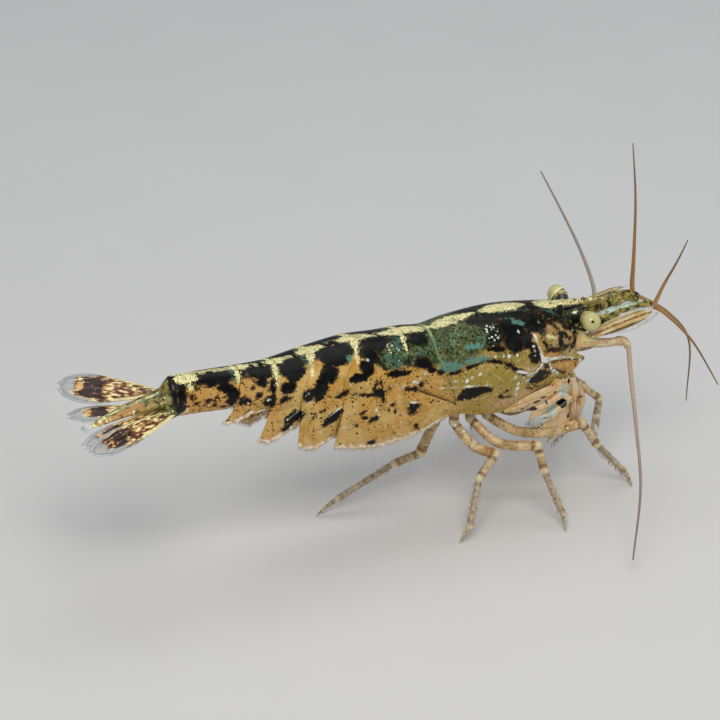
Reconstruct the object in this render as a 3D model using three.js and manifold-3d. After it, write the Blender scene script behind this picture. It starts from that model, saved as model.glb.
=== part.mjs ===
// A freshwater dwarf shrimp at life size, standing on its six walking legs.
// Millimetres. +X points towards the head, +Y to the animal's left and +Z up.
// The feet stand on z = 0. While it is built, x = 0 is the middle of the carapace and y = 0 the
// middle plane of the body. At the end the group is moved to put the origin under its middle.
import * as THREE from "three";
import { mergeVertices } from "three/addons/utils/BufferGeometryUtils.js";
import Module from "manifold-3d";

const wasm = await Module();
wasm.setup();

// ---- Driving dimensions --------------------------------------------------------------------

const GAP = 0.2; // clearance between neighbouring pieces
const PLATE = 0.5; // wall of the free shell plates
const FEELER = 0.25; // radius of every feeler
const FEELER_SIDES = 6;
const LIMB_SIDES = 7;
const WELD = 1e-4; // vertices closer than this are one
const PLATE_LAYERS = 3;
const MID_HEIGHT = 9.5; // about the middle of the trunk's height
const NEARINGS = 8;
const SIDES = { right: -1, left: 1 };

// The trunk along its length, each row as [x, value].
const backHeight = profile([
  [-20.2, 11.98],
  [-18.4, 11.86],
  [-16.2, 11.66],
  [-14.2, 11.5],
  [-12, 11.7],
  [-9.5, 11.86],
  [-7.5, 11.68],
  [-5.8, 11.6],
  [-4.6, 11.4],
  [-3.2, 11.58],
  [-1.5, 11.68],
  [0, 11.66],
  [2.4, 11.33],
  [4.6, 10.95],
]);
const trunkHalfWidth = profile([
  [-20.2, 0.9],
  [-18.2, 1.05],
  [-16.2, 1.25],
  [-13.9, 1.6],
  [-11.5, 1.95],
  [-8.5, 2.25],
  [-5, 2.25],
  [-2, 2.45],
  [0.8, 2.35],
  [3, 1.9],
  [4.6, 1.5],
]);
const flankHeight = profile([
  [-17, 10.5],
  [-12, 10.2],
  [-8.5, 9.9],
  [-5, 9.6],
  [0, 9.5],
  [4.6, 9.5],
]);

// The margins between the shell plates, from the neck back, each row as [z, x].
const margins = [
  profile([
    [6.4, -3.5],
    [8.2, -4.05],
    [9.5, -4.6],
    [10.6, -5],
    [11.8, -4.75],
  ]),
  profile([
    [6.4, -3.9],
    [7.2, -3.95],
    [8, -4.9],
    [9, -6.45],
    [10.1, -6.95],
    [11.8, -6.15],
  ]),
  profile([
    [5.8, -11.2],
    [9.3, -10.75],
    [10.6, -10.6],
    [12, -8.9],
  ]),
  profile([
    [6.5, -13.3],
    [9, -13.2],
    [10.5, -12.9],
    [11.9, -11.9],
  ]),
  profile([
    [7.2, -15.7],
    [8.8, -15.1],
    [10.3, -14.8],
    [11.6, -13.95],
  ]),
  profile([
    [8.8, -17.8],
    [9.7, -17],
    [10.7, -16.7],
    [11.7, -16.2],
  ]),
];
const headMargin = profile([
  [7.4, 4.4],
  [8.1, 4.55],
  [9.2, 4.25],
  [10.1, 3.75],
  [10.7, 3.6],
  [11.3, 3.8],
]);

// Each free plate: the half width and the height of its hem, and the belly that it covers.
const CARAPACE = {
  hemHalfWidth: 1.45,
  hem: profile([
    [-3.5, 6.5],
    [-2.4, 6.15],
    [-0.7, 5.9],
    [0.5, 6.2],
    [2.1, 6.75],
    [3.7, 7.35],
    [4.5, 8],
  ]),
  belly: profile([
    [-4, 7.1],
    [0, 7],
    [2, 7.5],
    [4.4, 8.7],
  ]),
  steps: 12,
  turns: 22,
};
const PLEON = [
  { hemHalfWidth: 2, hem: profile([[-6, 8.5], [-4, 8.15]]), belly: profile([[-6, 8.6]]) },
  {
    hemHalfWidth: 1.5,
    hem: profile([
      [-11.2, 6.2],
      [-9.5, 5.75],
      [-8.2, 5.6],
      [-6, 5.85],
      [-4, 6.5],
    ]),
    belly: profile([[-8, 8.4]]),
  },
  {
    hemHalfWidth: 1.4,
    hem: profile([
      [-13.3, 6.75],
      [-12.4, 6.35],
      [-11.3, 6.7],
    ]),
    belly: profile([[-11, 8.6]]),
  },
  {
    hemHalfWidth: 1.25,
    hem: profile([
      [-15.7, 7.7],
      [-15, 7.3],
      [-13.4, 7.9],
    ]),
    belly: profile([[-14, 9]]),
  },
  {
    hemHalfWidth: 1.05,
    hem: profile([
      [-17.8, 9.15],
      [-17.1, 8.9],
      [-15.8, 9.2],
    ]),
    belly: profile([[-16, 9.6]]),
  },
];
const PLEON_STEPS = [3, 6, 4, 4, 4];
const PLEON_TURNS = 16;

const EYE = { at: [4.8, 1.93, 10.65], radius: 0.58 };
const STALK = { from: [4.5, 0.8, 10.42], to: [4.68, 1.24, 10.57], radius: 0.36 };

// Radii of a walking leg from its hip to its toe, and how far its toe is cut by the floor.
const LEG_RADII = [0.3, 0.3, 0.31, 0.32, 0.29, 0.26, 0.25];
const TOE_SINK = 0.1;

// ---- Shapes --------------------------------------------------------------------------------

// A smooth curve through a few rows of [place, value], held level past its ends.
function profile(rows) {
  const last = rows.length - 1;
  const slope = (i) => {
    const before = rows[Math.max(i - 1, 0)];
    const after = rows[Math.min(i + 1, last)];
    return (after[1] - before[1]) / (after[0] - before[0]);
  };
  return (place) => {
    if (place <= rows[0][0]) return rows[0][1];
    if (place >= rows[last][0]) return rows[last][1];
    const i = rows.findIndex((row) => row[0] > place) - 1;
    const span = rows[i + 1][0] - rows[i][0];
    const t = (place - rows[i][0]) / span;
    const ease = t * t * (3 - 2 * t);
    return (
      rows[i][1] +
      (rows[i + 1][1] - rows[i][1]) * ease +
      span * t * (1 - t) * (slope(i) * (1 - t) - slope(i + 1) * t)
    );
  };
}

// The geometry with each vertex moved to where the rule puts it, and its shared vertices merged.
function bend(geometry, rule) {
  const places = geometry.attributes.position;
  for (let i = 0; i < places.count; i++) {
    const to = rule(places.getX(i), places.getY(i), places.getZ(i));
    places.setXYZ(i, to[0], to[1], to[2]);
  }
  return welded(geometry);
}

function welded(geometry) {
  geometry.deleteAttribute("normal");
  geometry.deleteAttribute("uv");
  return mergeVertices(geometry, WELD);
}

// A point of the trunk's outside. around runs from -1 at the right hem over the back to 1.
function shellPoint(x, around, shape) {
  const side = Math.sign(around) || 1;
  const share = Math.abs(around) * 2;
  const half = trunkHalfWidth(x);
  const flank = flankHeight(x);
  if (share <= 1) {
    const turn = (share * Math.PI) / 2;
    return [side * half * Math.sin(turn), flank + (backHeight(x) - flank) * Math.cos(turn)];
  }
  const drop = share - 1;
  return [
    side * (half - (half - shape.hemHalfWidth) * drop * drop),
    flank - (flank - shape.hem(x)) * drop,
  ];
}

// The matching point inside: level with the belly under the back, and a wall's thickness in
// from the outside below it.
function liningPoint(x, around, shape) {
  const outside = shellPoint(x, around, shape);
  const belly = shape.belly(x);
  if (outside[1] <= belly) return [outside[0] - Math.sign(around) * PLATE, outside[1]];
  const flank = flankHeight(x);
  const corner = 0.5 + (0.5 * (flank - belly)) / (flank - shape.hem(x));
  const atCorner = shellPoint(x, corner, shape)[0] - PLATE;
  return [(atCorner * around) / corner, belly];
}

// A plate of the shell with the flesh that it covers, between its hind and its front margin.
// The margins follow the height, so each point's place along the body is found by nearing it.
function plate(shape, hindMargin, frontMargin, steps, turns) {
  const block = new THREE.BoxGeometry(1, 1, 1, steps, turns, PLATE_LAYERS);
  return bend(block, (along, around, outward) => {
    let x = (hindMargin(MID_HEIGHT) + frontMargin(MID_HEIGHT)) / 2;
    let y = 0;
    let z = 0;
    for (let i = 0; i < NEARINGS; i++) {
      const outside = shellPoint(x, around * 2, shape);
      const lining = liningPoint(x, around * 2, shape);
      y = lining[0] + (outside[0] - lining[0]) * (outward + 0.5);
      z = lining[1] + (outside[1] - lining[1]) * (outward + 0.5);
      x = between(hindMargin(z), frontMargin(z), along + 0.5);
    }
    return [x, y, z];
  });
}

// The place at a share of the way between two margins, each drawn back by half the clearance.
function between(hind, front, share) {
  return hind + GAP / 2 + (front - hind - GAP) * share;
}

// A closed body swept along a row of points. sizes gives each point's half height and half
// width. up is the side that the half height points to at the first point.
function sweep(points, sizes, sides, up = [0, 0, 1]) {
  const path = points.map((point) => new THREE.Vector3(...point));
  const last = path.length - 1;
  const rings = [];
  let lift = new THREE.Vector3(...up);
  path.forEach((at, i) => {
    const before = path[i].clone().sub(path[Math.max(i - 1, 0)]).normalize();
    const after = path[Math.min(i + 1, last)].clone().sub(path[i]).normalize();
    const ahead = before.clone().add(after).normalize();
    const corner = i === 0 || i === last ? 1 : Math.min(1 / Math.max(ahead.dot(after), 0.1), 1.25);
    lift = lift.clone().addScaledVector(ahead, -lift.dot(ahead)).normalize();
    const across = new THREE.Vector3().crossVectors(ahead, lift);
    rings.push({ at, lift, across, corner });
  });
  const tube = new THREE.CylinderGeometry(1, 1, 1, sides, last);
  return bend(tube, (x, y, z) => {
    const i = Math.round((0.5 - y) * last);
    const { at, lift: rise, across, corner } = rings[i];
    const [halfHeight, halfWidth] = sizes[i];
    const to = at.clone();
    to.addScaledVector(rise, x * halfHeight * corner);
    to.addScaledVector(across, z * halfWidth * corner);
    return to.toArray();
  });
}

// A limb with the same radius in height and width.
function limb(points, radii, sides = LIMB_SIDES) {
  return sweep(
    points,
    radii.map((radius) => [radius, radius]),
    sides,
  );
}

// A thin blade from its root to its tip with a leaf's outline, widest at the share given.
function blade({ root, tip, halfWidth, halfHeight, fullest, up, steps = 6, sides = 8 }) {
  const from = new THREE.Vector3(...root);
  const to = new THREE.Vector3(...tip);
  const power = Math.log(0.5) / Math.log(fullest);
  const points = [];
  const sizes = [];
  for (let i = 0; i <= steps; i++) {
    const share = i / steps;
    const leaf = Math.sqrt(Math.sin(Math.PI * (0.06 + 0.88 * share ** power)));
    points.push(from.clone().lerp(to, share).toArray());
    sizes.push([halfHeight, Math.max(halfWidth * leaf, halfHeight)]);
  }
  return sweep(points, sizes, sides, up);
}

// A feeler of one thickness along a smooth curve through a few points.
function feeler(points, steps) {
  const curve = new THREE.CatmullRomCurve3(points.map((point) => new THREE.Vector3(...point)));
  const section = new THREE.Shape();
  section.absarc(0, 0, FEELER, 0, 2 * Math.PI);
  return welded(
    new THREE.ExtrudeGeometry(section, {
      extrudePath: curve,
      steps,
      curveSegments: FEELER_SIDES,
      bevelEnabled: false,
    }),
  );
}

// ---- Cutting and joining -------------------------------------------------------------------

function solidOf(geometry) {
  return new wasm.Manifold(
    new wasm.Mesh({
      numProp: 3,
      vertProperties: geometry.attributes.position.array,
      triVerts: new Uint32Array(geometry.index.array),
    }),
  );
}

function geometryOf(solid) {
  const mesh = solid.getMesh();
  const geometry = new THREE.BufferGeometry();
  geometry.setAttribute("position", new THREE.BufferAttribute(mesh.vertProperties, 3));
  geometry.setIndex(new THREE.BufferAttribute(mesh.triVerts, 1));
  return geometry;
}

function joined(...geometries) {
  return geometryOf(geometries.map(solidOf).reduce((all, solid) => all.add(solid)));
}

// What is left of a limb above the floor, so that its toe ends in a small flat.
function stoodOnFloor(geometry) {
  const depth = 10;
  const ground = welded(new THREE.BoxGeometry(100, 100, depth).translate(0, 0, -depth / 2));
  return geometryOf(solidOf(geometry).subtract(solidOf(ground)));
}

// ---- The animal ----------------------------------------------------------------------------

const shrimp = new THREE.Group();

const finishes = {
  shell: new THREE.MeshStandardMaterial({ color: 0x6f7a4a, roughness: 0.35 }),
  banded: new THREE.MeshStandardMaterial({ color: 0xb8965a, roughness: 0.35 }),
  limb: new THREE.MeshStandardMaterial({ color: 0xd2b08c, roughness: 0.4 }),
  fan: new THREE.MeshStandardMaterial({ color: 0x8c5a3a, roughness: 0.3 }),
  eye: new THREE.MeshStandardMaterial({ color: 0xb9bd6a, roughness: 0.15 }),
  feeler: new THREE.MeshStandardMaterial({ color: 0xb98a62, roughness: 0.4 }),
};

function add(name, geometry, finish) {
  const mesh = new THREE.Mesh(geometry, finish.clone());
  mesh.name = name;
  shrimp.add(mesh);
}

// The same points on the side given, from points written for the left side.
function onSide(points, side) {
  return points.map(([x, y, z]) => [x, y * side, z]);
}

function addTrunk() {
  const shield = plate(CARAPACE, margins[0], headMargin, CARAPACE.steps, CARAPACE.turns);
  const rostrum = sweep(
    [
      [2.8, 0, 10.6],
      [3.8, 0, 10.66],
      [4.8, 0, 10.72],
      [5.7, 0, 10.72],
      [6.6, 0, 10.7],
    ],
    [
      [0.45, 0.5],
      [0.42, 0.5],
      [0.33, 0.3],
      [0.27, 0.25],
      [0.1, 0.1],
    ],
    LIMB_SIDES,
  );
  add("carapace", joined(shield, rostrum), finishes.shell);
  PLEON.forEach((shape, i) => {
    const ring = plate(shape, margins[i + 1], margins[i], PLEON_STEPS[i], PLEON_TURNS);
    add("pleon_" + (i + 1), ring, finishes.banded);
  });
}

// The sixth ring has no hem: it is a closed barrel that carries the tail fan.
function addTailStem() {
  const tail = -20.15;
  const halfHeight = 1.17;
  const barrel = new THREE.CylinderGeometry(1, 1, 1, 14, 6);
  const stem = bend(barrel, (upward, along, across) => {
    let x = tail;
    let z = 0;
    for (let i = 0; i < NEARINGS; i++) {
      z = backHeight(x) + (upward - 1) * halfHeight;
      x = between(tail, margins[5](z), along + 0.5);
    }
    return [x, across * trunkHalfWidth(x), z];
  });
  add("pleon_6", stem, finishes.banded);
}

function addTailFan() {
  const telson = sweep(
    [
      [-20.3, 0, 11.05],
      [-21.6, 0, 10.85],
      [-23.2, 0, 10.5],
      [-24.9, 0, 10.05],
    ],
    [
      [0.55, 0.65],
      [0.42, 0.62],
      [0.3, 0.48],
      [0.25, 0.25],
    ],
    10,
    [0, 0, 1],
  );
  add("telson", telson, finishes.fan);
  const blades = {
    uropod_exopod_right: {
      root: [-20.4, -1.16, 10.15],
      tip: [-25.75, -2.7, 9.68],
      halfWidth: 0.78,
      up: [0, 0.3, 1],
    },
    uropod_endopod_right: {
      root: [-20.6, -0.36, 9.98],
      tip: [-25.8, -1.25, 9.62],
      halfWidth: 0.5,
      up: [0, 0.1, 1],
    },
    uropod_endopod_left: {
      root: [-20.6, 0.42, 9.95],
      tip: [-25.35, 1.6, 10.1],
      halfWidth: 0.52,
      up: [0, -0.25, 1],
    },
    uropod_exopod_left: {
      root: [-20.4, 1.15, 10.5],
      tip: [-25.1, 3.4, 10.98],
      halfWidth: 0.92,
      up: [0, -0.45, 1],
    },
  };
  for (const [name, shape] of Object.entries(blades)) {
    add(name, blade({ ...shape, halfHeight: FEELER, fullest: 0.6 }), finishes.fan);
  }
}

function addEye(name, side) {
  const [x, y, z] = EYE.at;
  const ball = new THREE.SphereGeometry(EYE.radius, 12, 8).translate(x, y * side, z);
  add("eye_" + name, welded(ball), finishes.eye);
  const stalk = onSide([STALK.from, STALK.to], side);
  add("eyestalk_" + name, limb(stalk, [STALK.radius, STALK.radius]), finishes.shell);
}

// The first feelers: a stem of three joints with two whips each.
function addAntennule(name, side) {
  const stem = onSide(
    [
      [4.95, 0.66, 9.72],
      [6.7, 0.72, 9.9],
      [8.1, 0.82, 10.05],
      [9.1, 0.88, 10.15],
    ],
    side,
  );
  add("antennule_" + name, limb(stem, [0.45, 0.46, 0.42, 0.4], 8), finishes.shell);
}

function addAntennuleWhips() {
  const whips = {
    antennule_whip_outer_right: [
      [9.35, -1.15, 10.4],
      [9.9, -1.15, 11.4],
      [10.55, -1.35, 12.7],
      [11.05, -1.6, 14.05],
    ],
    antennule_whip_inner_right: [
      [9.35, -0.7, 9.9],
      [10.1, -1.1, 9.4],
      [11.35, -2.1, 7.8],
      [12.33, -3.4, 5.45],
    ],
    antennule_whip_outer_left: [
      [9.15, 1.12, 10.75],
      [9.25, 1.2, 12.6],
      [9.65, 1.9, 15.6],
      [9.91, 2.8, 18.45],
    ],
    antennule_whip_inner_left: [
      [9.35, 0.75, 9.9],
      [11.5, 0.92, 8.3],
      [13.2, 1.25, 5.9],
      [13.45, 1.7, 1.8],
    ],
  };
  for (const [name, points] of Object.entries(whips)) {
    add(name, feeler(points, 9), finishes.feeler);
  }
}

// The second feelers: a stem, the broad scale over it and one long whip.
function addAntenna(name, side) {
  const stem = onSide(
    [
      [4.8, 1.1, 8.75],
      [5.5, 1.35, 8.65],
      [6.2, 1.6, 8.65],
      [6.9, 1.8, 8.7],
    ],
    side,
  );
  add("antenna_" + name, limb(stem, [0.5, 0.48, 0.36, 0.32]), finishes.limb);
  const scale = {
    root: [5.05, 1.6 * side, 9.55],
    tip: [8.7, 1.72 * side, 9.98],
    halfWidth: 0.5,
    halfHeight: FEELER,
    fullest: 0.45,
    up: [0, 0.5 * side, 1],
  };
  add("antennal_scale_" + name, blade(scale), finishes.fan);
}

function addAntennaWhips() {
  const right = [
    [6.95, -2.35, 8.55],
    [6.4, -3.6, 7.5],
    [5.3, -6.2, 5.6],
    [4.05, -8.9, 3.4],
    [1.95, -11.8, 1],
  ];
  const left = [
    [7.2, 2.35, 8.75],
    [7.75, 3, 9.7],
    [7.85, 4.8, 11.4],
    [7.7, 7, 13.2],
    [7.54, 9, 14.7],
  ];
  add("antenna_whip_right", feeler(right, 16), finishes.feeler);
  add("antenna_whip_left", feeler(left, 12), finishes.feeler);
}

function addMouth() {
  const core = new THREE.SphereGeometry(1, 10, 7).scale(1, 0.42, 0.42).translate(3.1, 0, 6.95);
  add("mouthparts", welded(core), finishes.limb);
}

// The limbs under the head, written for the left side and alike on both.
function addMouthLimbs(name, side) {
  const limbs = {
    maxilliped: {
      points: [
        [1.4, 0.5, 6.6],
        [2.1, 0.95, 6.2],
        [3.1, 1.15, 6.25],
        [4.1, 1.2, 6.15],
        [4.4, 1.25, 5.3],
        [4, 1.05, 4.2],
        [2.7, 0.85, 2.9],
      ],
      radii: [0.27, 0.27, 0.32, 0.36, 0.38, 0.3, 0.25],
    },
    cheliped_1: {
      points: [
        [0.5, 0.47, 6.6],
        [0.6, 0.75, 5.7],
        [1.6, 1.7, 5.75],
        [2.9, 1.95, 6.4],
        [3.45, 1.95, 5.95],
        [2.3, 1.85, 5.15],
        [1.3, 1.75, 4.95],
      ],
      radii: [0.27, 0.27, 0.28, 0.28, 0.28, 0.3, 0.25],
    },
    cheliped_2: {
      points: [
        [-0.35, 0.45, 6.6],
        [-0.3, 0.45, 5.5],
        [0.8, 0.43, 5.1],
        [2.6, 0.42, 5.5],
        [4.4, 0.44, 6.35],
        [6, 0.9, 4.9],
        [5.8, 1, 3.9],
        [5.6, 1.1, 2.7],
      ],
      radii: [0.27, 0.27, 0.27, 0.27, 0.26, 0.27, 0.28, 0.25],
    },
  };
  for (const [kind, { points, radii }] of Object.entries(limbs)) {
    add(kind + "_" + name, limb(onSide(points, side), radii), finishes.limb);
  }
}

// The walking legs, each from its hip over its bends to the toe on the floor.
function addWalkingLegs() {
  const legs = {
    leg_3_right: [
      [-1.25, -0.47, 6.65],
      [-1.15, -0.65, 5.4],
      [0.45, -1.25, 4.33],
      [4.38, -1.8, 4.15],
      [5.23, -2.1, 2.69],
      [6.95, -2.5, 0.6],
      [7.02, -3.25, -TOE_SINK],
    ],
    leg_4_right: [
      [-2.15, -0.47, 6.65],
      [-2.2, -0.65, 5.45],
      [-1.2, -2.2, 4.4],
      [0.69, -3.3, 4.27],
      [0.71, -4, 3.02],
      [1.28, -5.3, 0.73],
      [1.09, -6.05, -TOE_SINK],
    ],
    leg_5_right: [
      [-3.05, -0.47, 6.65],
      [-3.3, -0.75, 5.5],
      [-2.7, -1.95, 4.5],
      [-1.6, -2.5, 3.94],
      [-2.95, -3.1, 2.95],
      [-4.15, -4.3, 0.81],
      [-4.85, -4.4, -TOE_SINK],
    ],
    leg_3_left: [
      [-1.25, 0.47, 6.65],
      [-1.15, 0.7, 5.3],
      [0.4, 1.65, 4.35],
      [3.3, 3.1, 4.7],
      [4.3, 4.1, 3.8],
      [6, 6.2, 0.8],
      [6.4, 6.8, -TOE_SINK],
    ],
    leg_4_left: [
      [-2.15, 0.47, 6.65],
      [-2, 0.75, 5.5],
      [-1.2, 2.3, 5.1],
      [0.6, 4.5, 5.2],
      [1.1, 5.4, 4.1],
      [2.05, 6.9, 0.9],
      [2.25, 7.4, -TOE_SINK],
    ],
    leg_5_left: [
      [-3.05, 0.47, 6.65],
      [-3.3, 0.6, 5.6],
      [-3.75, 0.9, 4.6],
      [-4.43, 1.1, 2.97],
      [-5.98, 1.4, 2.5],
      [-9.29, 1.85, 0.86],
      [-10.7, 1.95, -TOE_SINK],
    ],
  };
  for (const [name, points] of Object.entries(legs)) {
    add(name, stoodOnFloor(limb(points, LEG_RADII)), finishes.limb);
  }
}

// The swimming legs between the side plates of the tail, one pair under each ring.
function addSwimmingLegs() {
  const pairs = [
    { x: -5.3, y: 0.55, halfWidth: 0.36, length: 2 },
    { x: -8.2, y: 0.55, halfWidth: 0.36, length: 2.3 },
    { x: -11.4, y: 0.52, halfWidth: 0.34, length: 1.8 },
    { x: -13.8, y: 0.42, halfWidth: 0.3, length: 1.2 },
    { x: -16.1, y: 0.3, halfWidth: 0.25, length: 0.58 },
  ];
  pairs.forEach(({ x, y, halfWidth, length }, i) => {
    const top = PLEON[i].belly(x) - GAP;
    for (const [name, side] of Object.entries(SIDES)) {
      const paddle = {
        root: [x, y * side, top],
        tip: [x - length / 3, y * side, top - length],
        halfWidth,
        halfHeight: FEELER,
        fullest: 0.5,
        up: [1, 0, 0],
        steps: 4,
        sides: 6,
      };
      add("swimmeret_" + (i + 1) + "_" + name, blade(paddle), finishes.limb);
    }
  });
}

addTrunk();
addTailStem();
addTailFan();
for (const [name, side] of Object.entries(SIDES)) {
  addEye(name, side);
  addAntennule(name, side);
  addAntenna(name, side);
  addMouthLimbs(name, side);
}
addAntennuleWhips();
addAntennaWhips();
addMouth();
addWalkingLegs();
addSwimmingLegs();

const middle = new THREE.Box3().setFromObject(shrimp, true).getCenter(new THREE.Vector3());
shrimp.position.set(-middle.x, -middle.y, 0);

export default shrimp;
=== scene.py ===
import bisect
import math
import random

import bmesh
import bpy
from mathutils import Matrix, Vector


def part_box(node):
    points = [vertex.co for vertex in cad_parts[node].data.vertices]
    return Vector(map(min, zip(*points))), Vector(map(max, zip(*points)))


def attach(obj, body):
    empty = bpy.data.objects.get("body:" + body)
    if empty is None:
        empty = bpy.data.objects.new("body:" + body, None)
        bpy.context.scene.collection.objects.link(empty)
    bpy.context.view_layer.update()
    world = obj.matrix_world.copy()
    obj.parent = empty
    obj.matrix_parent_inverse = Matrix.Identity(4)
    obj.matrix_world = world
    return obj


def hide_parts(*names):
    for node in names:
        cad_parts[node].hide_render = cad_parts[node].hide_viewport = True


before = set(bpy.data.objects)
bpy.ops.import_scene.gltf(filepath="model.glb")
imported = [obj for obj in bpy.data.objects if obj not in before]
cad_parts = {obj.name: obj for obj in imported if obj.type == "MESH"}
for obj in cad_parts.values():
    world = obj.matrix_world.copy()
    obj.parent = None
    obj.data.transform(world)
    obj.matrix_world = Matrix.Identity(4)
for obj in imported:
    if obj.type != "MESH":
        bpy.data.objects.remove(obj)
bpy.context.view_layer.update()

# A freshwater dwarf shrimp at life size. Places and sizes are in millimetres, with x towards the
# head, y to the animal's left and z up from the floor. x = 0 is the middle of the carapace.
MM = 0.001
EYE_AT = Vector((4.8, 1.93, 10.65))
EYE_RADIUS = 0.54
eye_low, eye_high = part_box("eye_left")
MIDDLE = (eye_low + eye_high) / 2 / MM - EYE_AT
SIDES = {"right": -1, "left": 1}
UP = Vector((0, 0, 1))

# The camera's heading and downward tilt in degrees, its place, and what the lights aim at.
CAMERA_TURN = -27
CAMERA_TILT = 27
CAMERA_AT = (-97.477, -174.081, 109.903)
LIGHTS_AIM = (-8, 0, 8)
FLOOR_HALF = 3  # metres

# How far apart two points may be and still be joined, and how short an edge may be.
SEAM = 1e-4
SHORTEST = 1e-5

# Walls of the shell, the tail's ring and blades, and the feeler scales.
PLATE_WALL = 0.05
TAIL_WALL = 0.07
SCALE_WALL = 0.08

# Half thicknesses of the bristles, and how many hairs a pincer's brush has.
SOFT_BRISTLE = 0.016
STIFF_BRISTLE = 0.022
TAIL_BRISTLE = 0.025
BRUSH_HAIR = 0.014
BRUSH_HAIRS = 260

# The side of the square that one bristle has on the flattened skin.
BAKE_PATCH = 0.003

random.seed(7)


# ---- Camera, lights and floor ---------------------------------------------------------------

def placed(place):
    """A place on the animal, in metres in the model's frame."""
    return (Vector(place) + MIDDLE) * MM


def add_camera():
    """A long lens on the animal's right, above it and a little behind."""
    turn = math.radians(CAMERA_TURN)
    tilt = math.radians(CAMERA_TILT)
    right = Vector((math.cos(turn), math.sin(turn), 0))
    level = Vector((-math.sin(turn), math.cos(turn), 0))
    ahead = level * math.cos(tilt) - UP * math.sin(tilt)
    lens = bpy.data.cameras.new("long_lens")
    lens.lens = 200
    lens.sensor_width = 36
    lens.clip_start = 0.01
    lens.clip_end = 5
    camera = bpy.data.objects.new("camera", lens)
    pose = Matrix((right, right.cross(ahead), -ahead)).transposed().to_4x4()
    pose.translation = placed(CAMERA_AT)
    camera.matrix_world = pose
    bpy.context.scene.collection.objects.link(camera)
    bpy.context.scene.camera = camera


def add_light(name, place, size, power, colour):
    """A square soft lamp, with its side in millimetres and its power in watts."""
    light = bpy.data.lights.new(name, "AREA")
    light.size = size * MM
    light.energy = power
    light.color = colour
    lamp = bpy.data.objects.new(name, light)
    lamp.location = placed(place)
    aim = placed(LIGHTS_AIM) - lamp.location
    lamp.rotation_euler = aim.to_track_quat("-Z", "Y").to_euler()
    bpy.context.scene.collection.objects.link(lamp)


def add_studio():
    """Three soft lamps, an even room and a pale floor."""
    add_light("key_light", (-60, -110, 170), 120, 0.21, (1, 0.97, 0.92))
    add_light("top_light", (30, 60, 200), 160, 0.1, (0.96, 0.98, 1))
    add_light("side_light", (150, -90, 70), 110, 0.05, (1, 1, 1))
    world = bpy.data.worlds.new("soft_room")
    world.use_nodes = True
    world.node_tree.nodes["Background"].inputs["Color"].default_value = (0.9, 0.93, 1, 1)
    world.node_tree.nodes["Background"].inputs["Strength"].default_value = 0.26
    bpy.context.scene.world = world
    bpy.context.scene.view_settings.view_transform = "Standard"
    bm = bmesh.new()
    bmesh.ops.create_grid(bm, x_segments=2, y_segments=2, size=FLOOR_HALF)
    mesh = bpy.data.meshes.new("floor")
    bm.to_mesh(mesh)
    bm.free()
    floor = bpy.data.objects.new("floor", mesh)
    mesh.materials.append(floor_finish().material)
    bpy.context.scene.collection.objects.link(floor)


# ---- How a finish is mixed ------------------------------------------------------------------

class Wire:
    """A number, colour or place on its way through a material. Numbers take +, - and *, and |
    for the greater of two."""

    def __init__(self, finish, socket):
        self.finish = finish
        self.socket = socket

    def __add__(self, other):
        return self.finish.sum("ADD", self, other)

    def __sub__(self, other):
        return self.finish.sum("SUBTRACT", self, other)

    def __rsub__(self, other):
        return self.finish.sum("SUBTRACT", other, self)

    def __mul__(self, other):
        return self.finish.sum("MULTIPLY", self, other)

    __radd__ = __add__
    __rmul__ = __mul__

    def __or__(self, other):
        return self.finish.sum("MAXIMUM", self, other)


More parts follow.
